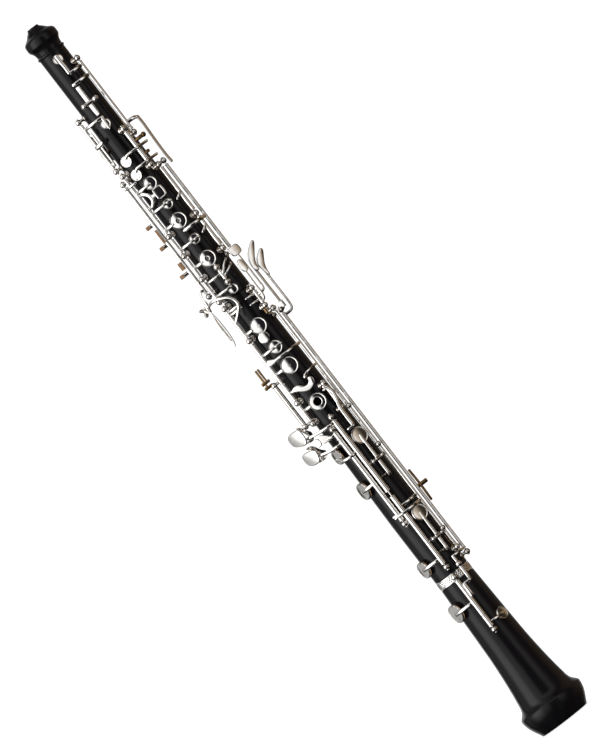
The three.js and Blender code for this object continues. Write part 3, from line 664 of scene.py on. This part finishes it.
for name, top, bottom, inner, outer in (('upper_tenon_cork', 230.5, 246, 8.3, 9.0),
                                        ('lower_tenon_cork', 470.5, 486, 9.9, 10.6)):
    profile = [(inner, height(top)), (outer - 0.3, height(top)), (outer, height(top + 0.6)),
               (outer, height(bottom - 0.6)), (outer - 0.3, height(bottom)), (inner, height(bottom))]
    piece(f'{name}_sleeve', [turned(profile, steps=64, closed=True)], CORK, 'body', [name])


def knurled_ring():
    """The bell's ring: two polished beads with a band of small rolled lozenges between them."""
    half = [(12.5, 0), (13.3, 0), (13.6, 0.3), (13.6, 0.9), (13.3, 1.2)]
    profile = [(r, height(469.3 + s)) for r, s in half] + [(r, height(475.2 - s)) for r, s in reversed(half)]
    shapes = [turned(profile, steps=128, closed=True)]
    count = 44
    for line, station in enumerate((471.15, 472.25, 473.35)):
        shapes += [turned([(0, -0.25), (0.8, 0), (0, 0.3)],
                          outward(360 * (i + 0.5 * (line % 2)) / count, station, 13.3), 4)
                   for i in range(count)]
    return shapes


piece('bell_ring_knurled', knurled_ring(), RING_METAL, 'body', ['bell_ring'])


def thumb_rest():
    """A curved foot plate on the back with two screws and a hook."""
    station, back = 322, 180
    foot = wood_radius(station) + 0.9
    outline = [(-4.4, -12), (0, -13), (4.4, -12), (5, 0), (4.4, 12), (0, 13), (-4.4, 12), (-5, 0)]
    hook = [polar(back, foot + out, station + down)
            for out, down in ((1.2, 1), (5, 1), (10, 0.6), (13.8, -0.6))]
    shapes = [plate(curve([(x, station + down) for x, down in outline]), foot, 1.6, back, 0.5, 3),
              swept(smooth(hook), 9, 2.0, tip=0.8, sides=16)]
    return shapes + [screw_head(station + shift, back, foot + 1.5, 1.5) for shift in (-8.5, 8.5)]


def screw_head(station, angle, distance, radius):
    """A domed screw head."""
    return turned([(0, 0), (radius, 0), (radius, 0.35), (radius * 0.8, 0.7), (0, 0.85)],
                  outward(angle, station, distance), 20)


piece('thumb_rest_hook', thumb_rest(), SILVER, 'body', ['thumb_rest'])


# ---- rods and posts ----

ROWS = {
    'side_octave': ((11.8, -8.8), (35.5, 99)),
    'thumb_octave': ((-14.5, -4.2), (71, 113)),
    'trill': ((7.2, -12.6), (93, 123.5)),
    'upper_left': ((-13, -8), (118.6, 170.3, 187, 207, 226.4)),
    'upper_left_outer': ((-16.4, -3.4), (123, 219)),
    'upper_right_inner': ((11.6, -10), (126.8, 168.5, 198.5)),
    'upper_right_outer': ((15.8, -5.2), (126.6, 203.4)),
    'front_link': ((0.2, -15.6), (206.6, 218.8)),
    'left_little_finger': ((10.5, -11.8), (232.2, 247)),
    'lower_left': ((-13, -9.8), (232.5, 260, 313.5, 331)),
    'lower_right_inner': ((13.8, -9.8), (252, 457)),
    'lower_right_outer': ((17.2, -6), (256, 464)),
    'centre_long': ((-0.5, -17.4), (335, 463.5)),
    'centre_short': ((-5, -16.7), (342, 423)),
    'fork_lever': ((9.5, -13.4), (313.5, 334)),
    'bell': ((-0.5, -18.6), (472.4, 517)),
}


RAIL = (-18.2, -3.6)
RAIL_POSTS = (294.5, 329.6)


def on_row(name, station):
    (x, y), _ = ROWS[name]
    return at(x, y, station)


def pivot_screw(x, y, station, way):
    """The screw end of a rod, in its end post. way is 1 at the top and -1 at the bottom."""
    start = at(x, y, station - way * 1.6)
    return tube(start, start + Vector((0, 0, way * 0.95)), 0.95, 14, 0.2)


def outer_rail(inner):
    """A plain rail on two posts of its own, with a foot that joins the lower one to the row's post."""
    top, bottom = RAIL_POSTS
    shapes = [tube(at(*RAIL, top), at(*RAIL, bottom), 1.7, 24, 0.2)]
    shapes += [post(*RAIL, station) for station in RAIL_POSTS]
    foot = wood_radius(bottom) + 0.8
    ends = [polar(angle_of(place.x, place.y), foot, bottom) for place in (inner, at(*RAIL, bottom))]
    shapes.append(swept(arch(*ends), 2.4, 1.0))
    return shapes


for name, ((x, y), stations) in ROWS.items():
    low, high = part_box(f'{name}_rod')
    rod_top, rod_bottom = LENGTH - high[2] / MM, LENGTH - low[2] / MM
    shapes = [tube(at(x, y, rod_top + 0.6), at(x, y, rod_bottom - 0.6), ROD, 14)]
    shapes += [post(x, y, station) for station in stations]
    shapes += [pivot_screw(x, y, stations[0], 1), pivot_screw(x, y, stations[-1], -1)]
    if name == 'lower_left':
        shapes += outer_rail(at(x, y, RAIL_POSTS[1]))
    piece(f'{name}_posts', shapes, STEEL, 'body', [f'{name}_rod'])

AXLES = {
    'octave_rocker': (65, 0, 13.9, 4.6, 2.3),
    'upper_lever': (376.5, 27.5, 16.9, 4.1, 1.6),
    'lower_lever': (443, 27.5, 17.2, 4.1, 1.6),
}


def across_axle(name, shift, out=0.0, station=None):
    """A place by its shift along an axle and out from it."""
    mid, angle, distance, _, _ = AXLES[name]
    turn = radians(angle)
    return at(shift * cos(turn) + (distance + out) * sin(turn),
              shift * sin(turn) - (distance + out) * cos(turn), mid if station is None else station)


for name, (station, angle, distance, half, ball) in AXLES.items():
    shapes = [tube(across_axle(name, -half - 0.8), across_axle(name, half + 0.8), ROD, 14)]
    for side in (-1, 1):
        end = across_axle(name, side * half)
        shapes.append(post(end.x, end.y, station, ball, 0.95, 1.9))
    piece(f'{name}_posts', shapes, STEEL, 'body', [f'{name}_axle'])


# each spring: its row, the post it stands in and the station its free end reaches
NEEDLES = [('side_octave', 99, 87), ('trill', 93, 105), ('upper_left', 118.6, 131), ('upper_left', 187, 196),
           ('upper_right_outer', 203.4, 191), ('lower_left', 260, 271), ('lower_left', 313.5, 307.5),
           ('lower_left', 331, 323), ('lower_right_inner', 457, 446), ('lower_right_outer', 464, 452),
           ('centre_long', 335, 347), ('bell', 472.4, 478.5)]


def needles():
    """Thin gilt springs, each standing in a post and lying along the underside of its row."""
    shapes = []
    for row, start, end in NEEDLES:
        (x, y), _ = ROWS[row]
        under = 1 - 2.5 / hypot(x, y)
        shapes.append(tube(at(x * under, y * under, start), at(x * under, y * under, end), 0.22, 8, 0.05))
    return shapes


def stop_pillars():
    """Brown pillars and bars that stand beside the rods."""
    x, y = RAIL
    bars = [(polar(60, 10.4, 104.2), polar(60, 18.6, 104.2), 1.4, 20),
            (polar(52, 10.4, 115), polar(52, 15.6, 115), 1.2, 20),
            (at(8.6, -15.4, 248.4), at(8.6, -15.4, 252.6), 1.1, 20),
            (at(x - 2.3, y, 278.6), at(x - 2.3, y, 290), 0.8, 16),
            (at(x - 4.2, y, 278.6), at(x - 4.2, y, 292), 0.8, 16)]
    bars += [(at(x, y, station), at(x - 5, y, station), 1.1, 16) for station in (289.4, 293)]
    knobs = [(polar(60, 18.2, 104.2), 1.9), (at(x - 5.6, y, 289.4), 1.3), (at(x - 5.6, y, 293), 1.3)]
    return [tube(*one) for one in bars] + [sphere(*one) for one in knobs]


piece('needle_springs', needles(), GILT, 'body')
piece('stop_pillars', stop_pillars(), GILT, 'body')

# ---- keys ----

def barrel(name, top, bottom, radius):
    """A key's tube on its row, with a turned collar at each end."""
    runs = ((top, bottom, 0.0), (top, top + 0.9, 0.22), (bottom - 0.9, bottom, 0.22))
    return [tube(on_row(name, start), on_row(name, end), radius + extra, 24, 0.2)
            for start, end, extra in runs]


def strap(places, width, thickness=ARM, steps=5, **look):
    """A bar bent smoothly through a few places, each a vector, (row, station) or (x, y, station)."""
    path = [place if isinstance(place, Vector) else on_row(*place) if len(place) == 2 else at(*place)
            for place in places]
    return swept(smooth(path, steps), width, thickness, **look)


def rib(row, station, x, lift, width, hump=0.0, thickness=ARM, **look):
    """An arm that arches from its row's tube to a lift over the wood at x."""
    return swept(arch(on_row(row, station), over(x, station, lift), hump), width, thickness, **look)


def bridge(row, station, x, y, width, hump=0.0, steps=8, thickness=ARM):
    """An arm that arches from its row's tube to a place off the wood."""
    return swept(arch(on_row(row, station), at(x, y, station), hump, steps), width, thickness)


def bar(x, y, stations, width, thickness):
    """A straight bar along the bore."""
    return swept([at(x, y, station) for station in stations], width, thickness)


def blade(points, inner, thickness, edge, tilt=0.0, rounds=3, angle=0.0, steps=4):
    """A plate with a smooth outline through a few (across, station) points."""
    return plate(curve(points, steps), inner, thickness, angle, edge, rounds, tilt)


def oval(x, station, half_width, half_length):
    """Eight points of an oval outline."""
    return [(x + half_width * cos(i * pi / 4), station + half_length * sin(i * pi / 4))
            for i in range(8)]


def cup(kind, angle, station, radius, seat, steps=0):
    """A cup and its pad, as two lists of shapes."""
    place = outward(angle, station, wood_radius(station) + seat)
    steps = steps or (40 if radius > 4.5 else 32)
    ring = kind == 'open ring'
    pad = pad_profile(radius - 0.25, 2.9 if ring else 0.0)
    return [turned(cup_profile(kind, radius), place, steps)], [turned(pad, place, steps, closed=ring)]


def cup_arm(row, station, width, x, cup_station, radius, seat, kind, hump=0.6):
    """An arm that arches from its row's tube to a cup, with the cup under its end."""
    end = over(x, cup_station, seat + CUP_HEIGHT - 0.3 + ARM / 2)
    tip = Vector((end.x, end.y, height(station)))
    reach = arch(on_row(row, station), tip, hump)
    if 'plate' in kind or 'ring' in kind:
        rim = hypot(end.x, end.y)
        reach = [p for p in reach if (p - tip).length > radius * 0.9 or p is reach[0]]
        reach.append(polar(angle_of(reach[-1].x, reach[-1].y) * 0.72 + angle_of(end.x, end.y) * 0.28,
                           rim - 0.5, station))
    metal, pad = cup(kind, angle_of(end.x, end.y), cup_station, radius, seat)
    return [swept(reach, width, ARM, taper=(1.15, 0.95))] + metal, pad


def make_key(name, run, metal, pads=()):
    """A key's tube, by its row, top, bottom and radius, the rest of its metal, and its pads. All of them
    ride on the key's own body."""
    metal = (barrel(*run) if run else []) + metal
    piece(f'{name}_metal', metal, SILVER, name, [name])
    if pads:
        piece(f'{name}_pads', pads, SKIN, name)


def side_octave_key():
    row = 'side_octave'
    metal = [
        rib(row, 41, 1.3, 3, 2.6),
        strap([over(1.3, 41, 3.2), over(1.4, 36, 3.3), over(1.2, 31, 3.6), over(1.1, 25.8, 3.5)], 2.7),
        rib(row, 49, -2, 3.3, 2.7, taper=(1.1, 0.9)),
        strap([(row, 91), (15.5, -8.6, 91), (18.6, -7.4, 91.4), (20.2, -6.2, 93)], 2.8, 1.8),
        strap([(20.2, -5.8, 91.6), (20.4, -5.8, 98), (20.0, -5.8, 108), (19.7, -5.8, 118),
               (19.7, -5.8, 125), (20.1, -5.8, 130.4)], 6.6, 1.7, taper=(0.85, 0.75), sides=20)]
    cups, pads = cup('vent', 4, 28.5, 3.65, PAD_SEAT)
    make_key('side_octave_key', (row, 38, 96.5, 1.35), metal + cups, pads)


def octave_rocker():
    outline = [(-1.6, 51.4), (1.5, 51.4), (1.6, 57), (1.7, 65), (1.6, 72), (1.4, 75.6), (-1.5, 75.6),
               (-1.7, 72), (-1.8, 65), (-1.7, 57)]
    ends = [across_axle('octave_rocker', shift) for shift in (-2.2, 2.2)]
    make_key('octave_rocker', None, [plate(outline, 13.1, 1.6, 0, 0.4, 3, tilt=-10), tube(*ends, 1.55, 24)])


def thumb_octave_key():
    row = 'thumb_octave'
    metal = [
        rib(row, 77.8, 1.2, 2.4, 2.4, 0.3),
        strap([over(0.6, 77.2, 2.4), over(0.2, 81, 2.9), over(0, 84.5, 2.9), over(0, 87.3, 2.5)], 2.6,
              taper=(1, 0.5), tip=0.3),
        bridge(row, 99, -9.4, 10.9, 3, 0.6, thickness=1.6),
        blade(oval(0, 99, 4.5, 7), 14, 1.6, 0.6, angle=-139, steps=5),
        strap([(row, 92.4), (-15.4, -7.6, 92.4), (-10, -12, 91.6)], 3.2, 1.6),
        bar(-12.3, -7.6, (82.5, 90, 100, 109.5), 1.9, 1.5),
        bridge(row, 83.4, -12.3, -7.6, 3.0, 0.2, 3, 1.6),
        bridge(row, 108, -12.3, -7.6, 2.6, 0.2, 3, 1.6)]
    cups, pads = cup('vent', -1.5, 83, 3.65, PAD_SEAT)
    make_key('thumb_octave_key', (row, 73.6, 110.4, 1.35), metal + cups, pads)


def trill_key(name, top, bottom, station, cup_station):
    arm = strap([(-4.4, -13.4, station + 1.4), (-1.6, -14.3, station), (3, -15.0, station),
                 (7.2, -14.6, station), (11.6, -11.4, station), (15.3, -7.8, station)], 2.1, steps=4)
    cups, pads = cup('vent', -23, cup_station, 4.0, PAD_SEAT)
    make_key(name, ('trill', top, bottom, 1.75), [arm] + cups, pads)


def half_hole_key():
    row = 'upper_left'
    arm, pads = cup_arm(row, 134, 2.1, -1, 133.5, 4.75, VENT_SEAT, 'vent')
    hook = [(row, 136.4), over(-9.8, 136.8, 4.2), over(-7.4, 139, 4.1), over(-6.6, 142, 4),
            over(-7.4, 145, 4.1), over(-9.8, 147, 4.2), (row, 147.2)]
    touch = curve([(-3, 138.2), (0.5, 137.7), (3.2, 138.2), (4, 140), (4, 144.6), (3, 146.4), (0.5, 146.7),
                   (-2.4, 146.4), (-3.3, 144.6), (-3.4, 140)], 4)
    wood = wood_radius(142)
    rim = [Vector((a * 0.86 + 0.07, -(wood + 4.05), height(142.2 + (s - 142.2) * 0.86))) for a, s in touch]
    metal = arm + [
        strap(hook, 2.7, steps=4, taper=(1.1, 0.8)),
        strap([over(-6.6, 142, 3.9), over(-4.4, 142, 3.6), over(-2, 142, 3.4)], 3.0, 1.3),
        plate(touch, wood + 2.6, 1.5, 1.5, 0.55, 3),
        swept(rim + [rim[0]], 0.7, 0.6, tip=1, sides=8)]
    make_key('half_hole_key', (row, 121, 147.6, 1.35), metal, pads)


def vent_key(name, row, top, bottom, station, x, cup_station, radius):
    arm, pads = cup_arm(row, station, 2.1, x, cup_station, radius, VENT_SEAT, 'vent')
    tail = arch(over(x - 0.5, station, 4.3), over(3.7, station, 4.4), 0, 3)
    make_key(name, (row, top, bottom, 1.35), arm + [swept(tail, 2.0, ARM)], pads)


def finger_plate(name, kind, row, top, bottom, station, x, cup_station, radius, extra=()):
    arm, pads = cup_arm(row, station, 2.3, x, cup_station, radius, OPEN_SEAT, kind, 0)
    make_key(name, (row, top, bottom, 1.35), arm + list(extra), pads)


def slanted_link(name, top, bottom, start, end):
    """A thick tube on the right with a hook that slants down on to the front."""
    row = 'upper_right_inner'
    hook = [on_row(row, start) + Vector((0.6, -1.2, 0)), over(11.4, start + 0.6, 4.8),
            over(8.9, end - 1, 4.2), over(7.2, end, 3.4)]
    make_key(name, (row, top, bottom, 1.6), [strap(hook, 2.1, steps=4, taper=(1.15, 0.85))])


def trill_lever():
    row = 'upper_right_outer'
    arm = swept(arch(on_row(row, 173.6), over(-2.6, 173.5, 5.2), 3.2), 2.6, ARM, taper=(1.15, 0.85))
    make_key('trill_lever', (row, 129.4, 200.6, 1.2), [arm])


def front_link_key():
    """A short tube on the front, with one arm to the left and two curved ones up to the right."""
    row = 'front_link'
    make_key('front_link_key', (row, 209.2, 216.2, 1.5), [
        rib(row, 211.7, -11.2, 5.2, 1.9, 0.6),
        strap([(row, 214.4), over(3.6, 213.4, 5.2), over(7.4, 211.4, 5.0), over(9.6, 209.8, 4.6)],
              1.7, steps=4),
        strap([(row, 212.6), over(2.2, 211.4, 5.6), over(5.2, 208, 5.0), over(8.8, 205.4, 4.6)],
              1.7, steps=4)])


def side_trill_key():
    row = 'upper_left_outer'
    pegs = ((157, 22.2), (173.8, 23.2), (197.5, 24))
    shank = [(row, 213.4), (-19, -6.2, 213.6), (-20.8, -6.4, 217), (-21.4, -6.4, 224), (-22.4, -6.4, 230)]
    touch = [(-22.2, 227), (-20.6, 234), (-20.2, 246), (-21, 254), (-22.6, 257.3), (-24.2, 254), (-25, 246),
             (-24.6, 236), (-23, 228.5)]
    underside = [(-21.6, 230), (-22.2, 238), (-22.2, 248), (-22.6, 253), (-24, 247), (-24.2, 238),
                 (-23.4, 233)]
    foot = [(-19.4, 220.4), (-22, 222.6), (-25.4, 223), (-28.6, 222.8), (-28.8, 224.4), (-26.4, 226),
            (-27.6, 228.4), (-26, 230), (-23.4, 228.4), (-21.2, 227)]
    bow = [(-21.6, -7.4, 228), (-20.6, -9.6, 224.6), (-16.6, -14.4, 223.6), (-11.6, -17.6, 225),
           (-6.4, -19.2, 228), (-3.8, -19.4, 232), (-4.2, -19.3, 236.6), (-8, -18.6, 240.6),
           (-12.6, -17.4, 244.4)]
    metal = [
        rib(row, 127.4, -8.6, 5.6, 1.9, 1.9), strap(shank, 2.3),
        blade(touch, 5.6, 1.6, 0.7, -20), blade(underside, 7.0, 1.1, 0.3, 38, 2),
        blade(foot, 6, 1.4, 0.5, 34), strap(bow, 2.2, steps=4)]
    metal += [tube(polar(PEG_ANGLE, 16.6, station), polar(PEG_ANGLE, reach, station), 1.35, 16)
              for station, reach in pegs]
    make_key('side_trill_key', (row, 125.8, 216.2, 1.35), metal)
    cork = [tube(polar(PEG_ANGLE, reach - 2.6, station), polar(PEG_ANGLE, reach + 0.3, station), 1.5, 16)
            for station, reach in pegs]
    cork += [plate([(-18.7, 161), (-17, 161), (-17, 172), (-18.7, 172)], 4.2, 1.4, 0, 0.3, 2),
             plate([(-20.2, 188.6), (-17.2, 188.6), (-17.2, 194.4), (-20.2, 194.4)], 3.4, 1.8, 0, 0.4, 2)]
    piece('side_trill_stops', cork, CORK, 'side_trill_key')


def g_sharp_cup():
    arm, pads = cup_arm('upper_left', 222.8, 2.1, 0, 225, 3.6, PAD_SEAT, 'vent', 0.4)
    make_key('g_sharp_cup', ('upper_left', 209.8, 223.8, 1.35), arm, pads)


def g_sharp_key():
    row = 'left_little_finger'
    touch = [(12.6, 202.2), (16, 201.2), (19.6, 201.4), (21, 203.4), (20.6, 207.6), (17.6, 208.6),
             (14, 208.4), (12.4, 205.6)]
    make_key('g_sharp_key', (row, 234.8, 239.7, 1.55), [
        rib(row, 236, 2.6, 4, 1.7),
        strap([(row, 238.4), (14.6, -13.2, 238.4), (17, -12.7, 236.5), (17.1, -12.6, 230),
               (17, -12.6, 212), (16.6, -12.6, 206)], 1.9),
        blade(touch, 11.9, 1.5, 0.55, 22)])


def left_d_sharp_lever():
    row = 'left_little_finger'
    make_key('left_d_sharp_lever', (row, 240.2, 244.5, 1.55), [
        rib(row, 241.2, 2.6, 4, 1.7),
        strap([(row, 243.4), (12.6, -15.4, 243.2), (13.8, -16.0, 240), (13.8, -16.0, 230),
               (14.2, -16.0, 217)], 1.8),
        blade(oval(14.4, 216.4, 2.9, 5), 15.4, 1.4, 0.5, 22)])


def left_b_lever():
    row = 'lower_right_inner'
    touch = [(18.7, 224), (18.8, 217.6), (21.6, 212.4), (26, 208.6), (30, 206.4), (31.2, 208), (28.4, 212),
             (25, 216.4), (22.6, 221), (21.8, 225.4)]
    drop = [(-6.6, 280.5), (-9, 279), (-11.4, 278.2), (-13.1, 279.6), (-13.2, 281.5), (-12, 282.7),
            (-9, 282.6), (-6.6, 282.4)]
    make_key('left_b_lever', (row, 254.7, 454.3, 1.15), [
        strap([(row, 256), (16, -12.2, 256), (19.6, -10.2, 255.4), (20.4, -9.3, 251),
               (20.3, -9.2, 236), (20.3, -9.2, 222)], 3.2, 1.6),
        blade(touch, 8.4, 1.6, 0.7, 23),
        plate([(17.2, 251), (22.2, 251), (22.2, 256), (17.2, 256)], 9.6, 1.9, 0, 0.5, 3, tilt=-10),
        rib(row, 412, 6.6, 1.9, 2.4),
        strap([(row, 416.6), (10, -17.6, 416.6), (4, -20.8, 416.6), (-2, -21.2, 416.6),
               (-8, -19.6, 416.6)], 2.2),
        *[sphere(on_row(row, station), 2.1) for station in (336, 369, 441)],
        bridge(row, 281.4, -9.4, -16.5, 2.2, 0.6, 12), blade(drop, 15.9, 1.4, 0.5, -12),
        strap([(row, 299.6), over(11, 299.8, 5.6), over(6, 300.4, 5.4), over(2.4, 301.6, 4.8)],
              1.9, steps=4),
        sphere(over(2.2, 302.3, 4.8), 1.25)])


def left_b_flat_lever():
    row = 'lower_right_outer'
    name = 'left_b_flat_lever'
    touch = [(22.8, 226), (22.4, 222), (24.6, 218.4), (29, 215), (31.6, 214.2), (32.6, 216), (30.2, 220),
             (27.6, 224), (26.2, 228), (25.8, 232), (24, 232)]
    make_key(name, (row, 258.7, 461.3, 1.15), [
        strap([(row, 260.4), (20.6, -5.8, 260.6), (24, -5, 259.4), (24.9, -4.7, 254),
               (24.8, -4.7, 240), (24.8, -4.7, 229)], 2.1, 1.7),
        blade(touch, 3.9, 1.6, 0.7, 23), bridge(row, 460.5, 7.6, -16.4, 2.0, 1.4),
        bar(7.6, -16.4, (460, 464, 468, 471.3), 2.2, 1.2)])
    guard = strap([(19.6, -6, 396), (19.9, -6, 408), (19.6, -6, 421)], 3.4, 1.7, sides=16)
    peg = tube(at(18.2, -6, 408.5), at(25.4, -5.4, 408.5), 1.5, 20)
    piece('outer_row_guard', [guard, peg], GILT, name)


def crescent_key():
    row = 'lower_left'
    touch = [(4.4, 303.7), (6.3, 305.4), (6, 308.4), (3.2, 310.6), (-0.6, 311.3), (-4, 310.2), (-7.2, 308),
             (-9.4, 306.6), (-9.6, 304), (-6.2, 303.6), (-3.8, 305), (-2, 307), (0.8, 307.4), (2.9, 306),
             (3.2, 304.4)]
    make_key('crescent_key', (row, 297.9, 310.9, 1.35), [
        rib(row, 305.4, -7, 4, 2.2, 0.2),
        blade(touch, wood_radius(306) + OPEN_SEAT + 0.2, 1.7, 0.5, -10)])


def fork_lever():
    row = 'fork_lever'
    make_key('fork_lever', (row, 316.2, 331.3, 1.55), [
        strap([(8.2, -15.9, 315), (10.2, -15.9, 318), (11.3, -15.9, 322), (10.4, -16.5, 327),
               (8.9, -17.1, 332), (8.5, -17.2, 340), (8.5, -17.2, 348)], 2.9, 1.6),
        bridge(row, 330, 8.8, -17, 2, 0.2, 3),
        swept(arch(at(8.8, -17.2, 348.6), over(3.6, 348.6, 5.6), 0, 4), 1.9, ARM),
        rib(row, 317.4, 6.4, 2, 2)])


def low_c_key():
    row = 'centre_long'
    web = [(-17, 335), (-18.4, 333), (-20.2, 330.6), (-22.6, 327.6), (-25.4, 326.6), (-24, 329.4),
           (-21.8, 333), (-20.6, 336.4), (-22.4, 338.4), (-26, 339), (-22, 340.4), (-18.6, 339.4)]
    touch = [(-20.8, 329), (-25.6, 327.4), (-32, 327.6), (-34.8, 330.4), (-34, 335.6), (-29.6, 338.2),
             (-23.4, 339.6), (-20.6, 336)]
    metal = [
        strap([(row, 338.9), (-5, -20, 338.9), (-12, -18.4, 338.6), (-22.6, -11.6, 337)], 2.2, 1.6),
        blade(web, 9.6, 1.2, 0.35, 36, 2), blade(touch, 9.2, 1.6, 0.7, -44),
        strap([(row, 364.5), (-5, -19.9, 364.5), (-10.4, -18.4, 364.2), (-15.2, -12.4, 362.6),
               (-15.8, -9.4, 360.4)], 2.2),
        rib(row, 388.5, 8.4, 1.4, 2.2, -0.9)]
    cups, pads = cup('low', -60, 359.5, 5.8, LOW_SEAT)
    make_key('low_c_key', (row, 337.7, 398.6, 1.85), metal + cups, pads)


def d_sharp_key():
    row = 'centre_short'
    drop = [(-7.4, 347), (-8.4, 344.8), (-12.6, 341), (-15.2, 340.4), (-16.4, 343.4), (-15.2, 346.4),
            (-12, 347.1)]
    foot = [(-16.6, 341), (-19.6, 340.4), (-20.8, 343.4), (-19.8, 346.4), (-16.6, 346.2), (-15.4, 343.6)]
    make_key('d_sharp_key', (row, 344.7, 350.6, 1.75), [
        strap([(row, 346), (-8.4, -17.2, 346), (-12, -15.6, 345)], 2.2, 1.6),
        blade(drop, 14.4, 1.5, 0.6, -14), blade(foot, 13.2, 1.5, 0.6, -24)])


def low_c_sharp_key():
    row = 'centre_short'
    web = [(-16.8, 350.8), (-18, 349.6), (-20, 347.6), (-22.6, 343.6), (-25.6, 341.8), (-28.6, 342.2),
           (-26, 344.6), (-23.8, 348), (-22.4, 351), (-24.4, 353.4), (-27.4, 354.6), (-22, 355.4),
           (-18, 354.2)]
    touch = [(-21, 346), (-25.6, 344.2), (-32.4, 343.8), (-34.6, 346.6), (-33.8, 351.8), (-29.2, 354.3),
             (-23, 354.2), (-20.6, 350)]
    arm, pads = cup_arm(row, 388.8, 2.5, -15, 388.8, 6.5, LOW_SEAT, 'low', 0.8)
    make_key('low_c_sharp_key', (row, 351.1, 420.2, 1.75), [
        strap([(row, 353.4), (-10, -17.4, 353.4), (-17, -14.4, 352.6), (-24, -10.2, 350.6)], 2.2, 1.6),
        blade(web, 8.2, 1.2, 0.35, 34, 2), blade(touch, 8, 1.6, 0.7, -44), *arm,
        strap([(row, 415.3), (-7, -15.1, 415.3), (-8.6, -14.5, 415.3)], 2)], pads)


def low_b_key():
    row = 'centre_long'
    arm, pads = cup_arm(row, 456.4, 2.5, -15.2, 456.4, 6.2, LOW_SEAT, 'low', 0.8)
    make_key('low_b_key', (row, 402.6, 460.9, 1.85), [
        rib(row, 412, 8.2, 4.6, 2.2), rib(row, 453, 8, 1.3, 2, -0.9), *arm], pads)


def lever_cup(name, axle, cup_station, tail, radius):
    """A see-saw lever on its short axle, with a large cup at its upper end."""
    station, angle = AXLES[axle][:2]
    path = [across_axle(axle, 0, -0.1, s) for s in (tail, station, (station + cup_station) / 2, cup_station)]
    cups, pads = cup('low', angle, cup_station, radius, LOW_SEAT, 44)
    make_key(name, None, [tube(across_axle(axle, -2.1), across_axle(axle, 2.1), 1.65, 24),
                    strap(path, 2.6, steps=4, taper=(1, 0.75))] + cups, pads)


def bell_key():
    row = 'bell'
    arm, pads = cup_arm(row, 493.8, 2.5, -15.9, 493.4, 6.9, BELL_SEAT, 'low')
    make_key('bell_key', (row, 475.2, 504.4, 1.85), arm + [
        bridge(row, 480, 7.6, -18.4, 2.2), bar(7.6, -18.3, (466.4, 470, 475, 480.6), 2.3, 1.4),
        sphere(at(7.5, -19.7, 466.8), 2.2), bar(2.0, -20.4, (480, 485, 489.6), 2.6, 1.3)], pads)


def bell_vent_key():
    arm, pads = cup_arm('bell', 511.6, 2.2, 11.4, 511.6, 4.6, PAD_SEAT, 'vent')
    make_key('bell_vent_key', ('bell', 504.9, 514.2, 1.85), arm, pads)


side_octave_key()
octave_rocker()
thumb_octave_key()
trill_key('c_trill_key', 95.8, 110.6, 109, 112)
trill_key('d_trill_key', 111.1, 121, 120.2, 123.5)
half_hole_key()
vent_key('first_vent_key', 'upper_left', 148.2, 156, 151.2, 0, 152, 3.8)
vent_key('second_vent_key', 'upper_left', 173, 184.4, 182.4, 0, 182, 4.0)
vent_key('lower_vent_key', 'lower_left', 262.7, 278.6, 274, -1.5, 274, 4.8)
finger_plate('left_second_plate', 'drilled plate', 'upper_left', 156.5, 167.5, 165.5, -1.3, 165.5, 5.9)
finger_plate('left_third_plate', 'drilled plate', 'upper_left', 189.6, 204.4, 198, -1.3, 198, 5.9)
trefoil = blade([(-5.8, 261), (-1.4, 260.4), (0.6, 263.6), (-0.6, 266.8), (-3.6, 268.2), (-6.6, 267),
                 (-7.4, 264)], wood_radius(260) + OPEN_SEAT + 0.3, 1.5, 0.5, -9)
meeting_lugs = [rib('lower_left', station, -3.2, 4.2, 1.9, 0.3, 1.3) for station in (236.1, 238.6)]
finger_plate('right_first_plate', 'plain plate', 'lower_left', 235.2, 257.3, 255.5, -1.8, 255.5, 5.8,
             [trefoil] + meeting_lugs)
finger_plate('right_second_plate', 'plain plate', 'lower_left', 279.1, 297.4, 289.6, -1.5, 289.7, 6.1)
finger_plate('right_third_plate', 'open ring', 'lower_left', 316.2, 328.3, 320.6, -1.4, 321, 6.1)
slanted_link('upper_link', 129.6, 165.8, 150.2, 153.4)
slanted_link('lower_link', 171.3, 195.8, 178.4, 181.8)
for build in (trill_lever, front_link_key, side_trill_key, g_sharp_cup, g_sharp_key, left_d_sharp_lever,
              left_b_lever, left_b_flat_lever, crescent_key, fork_lever, low_c_key, d_sharp_key,
              low_c_sharp_key, low_b_key):
    build()
lever_cup('upper_lever_cup', 'upper_lever', 356.5, 390, 6.1)
lever_cup('lower_lever_cup', 'lower_lever', 423, 454.4, 5.9)
bell_key()
bell_vent_key()
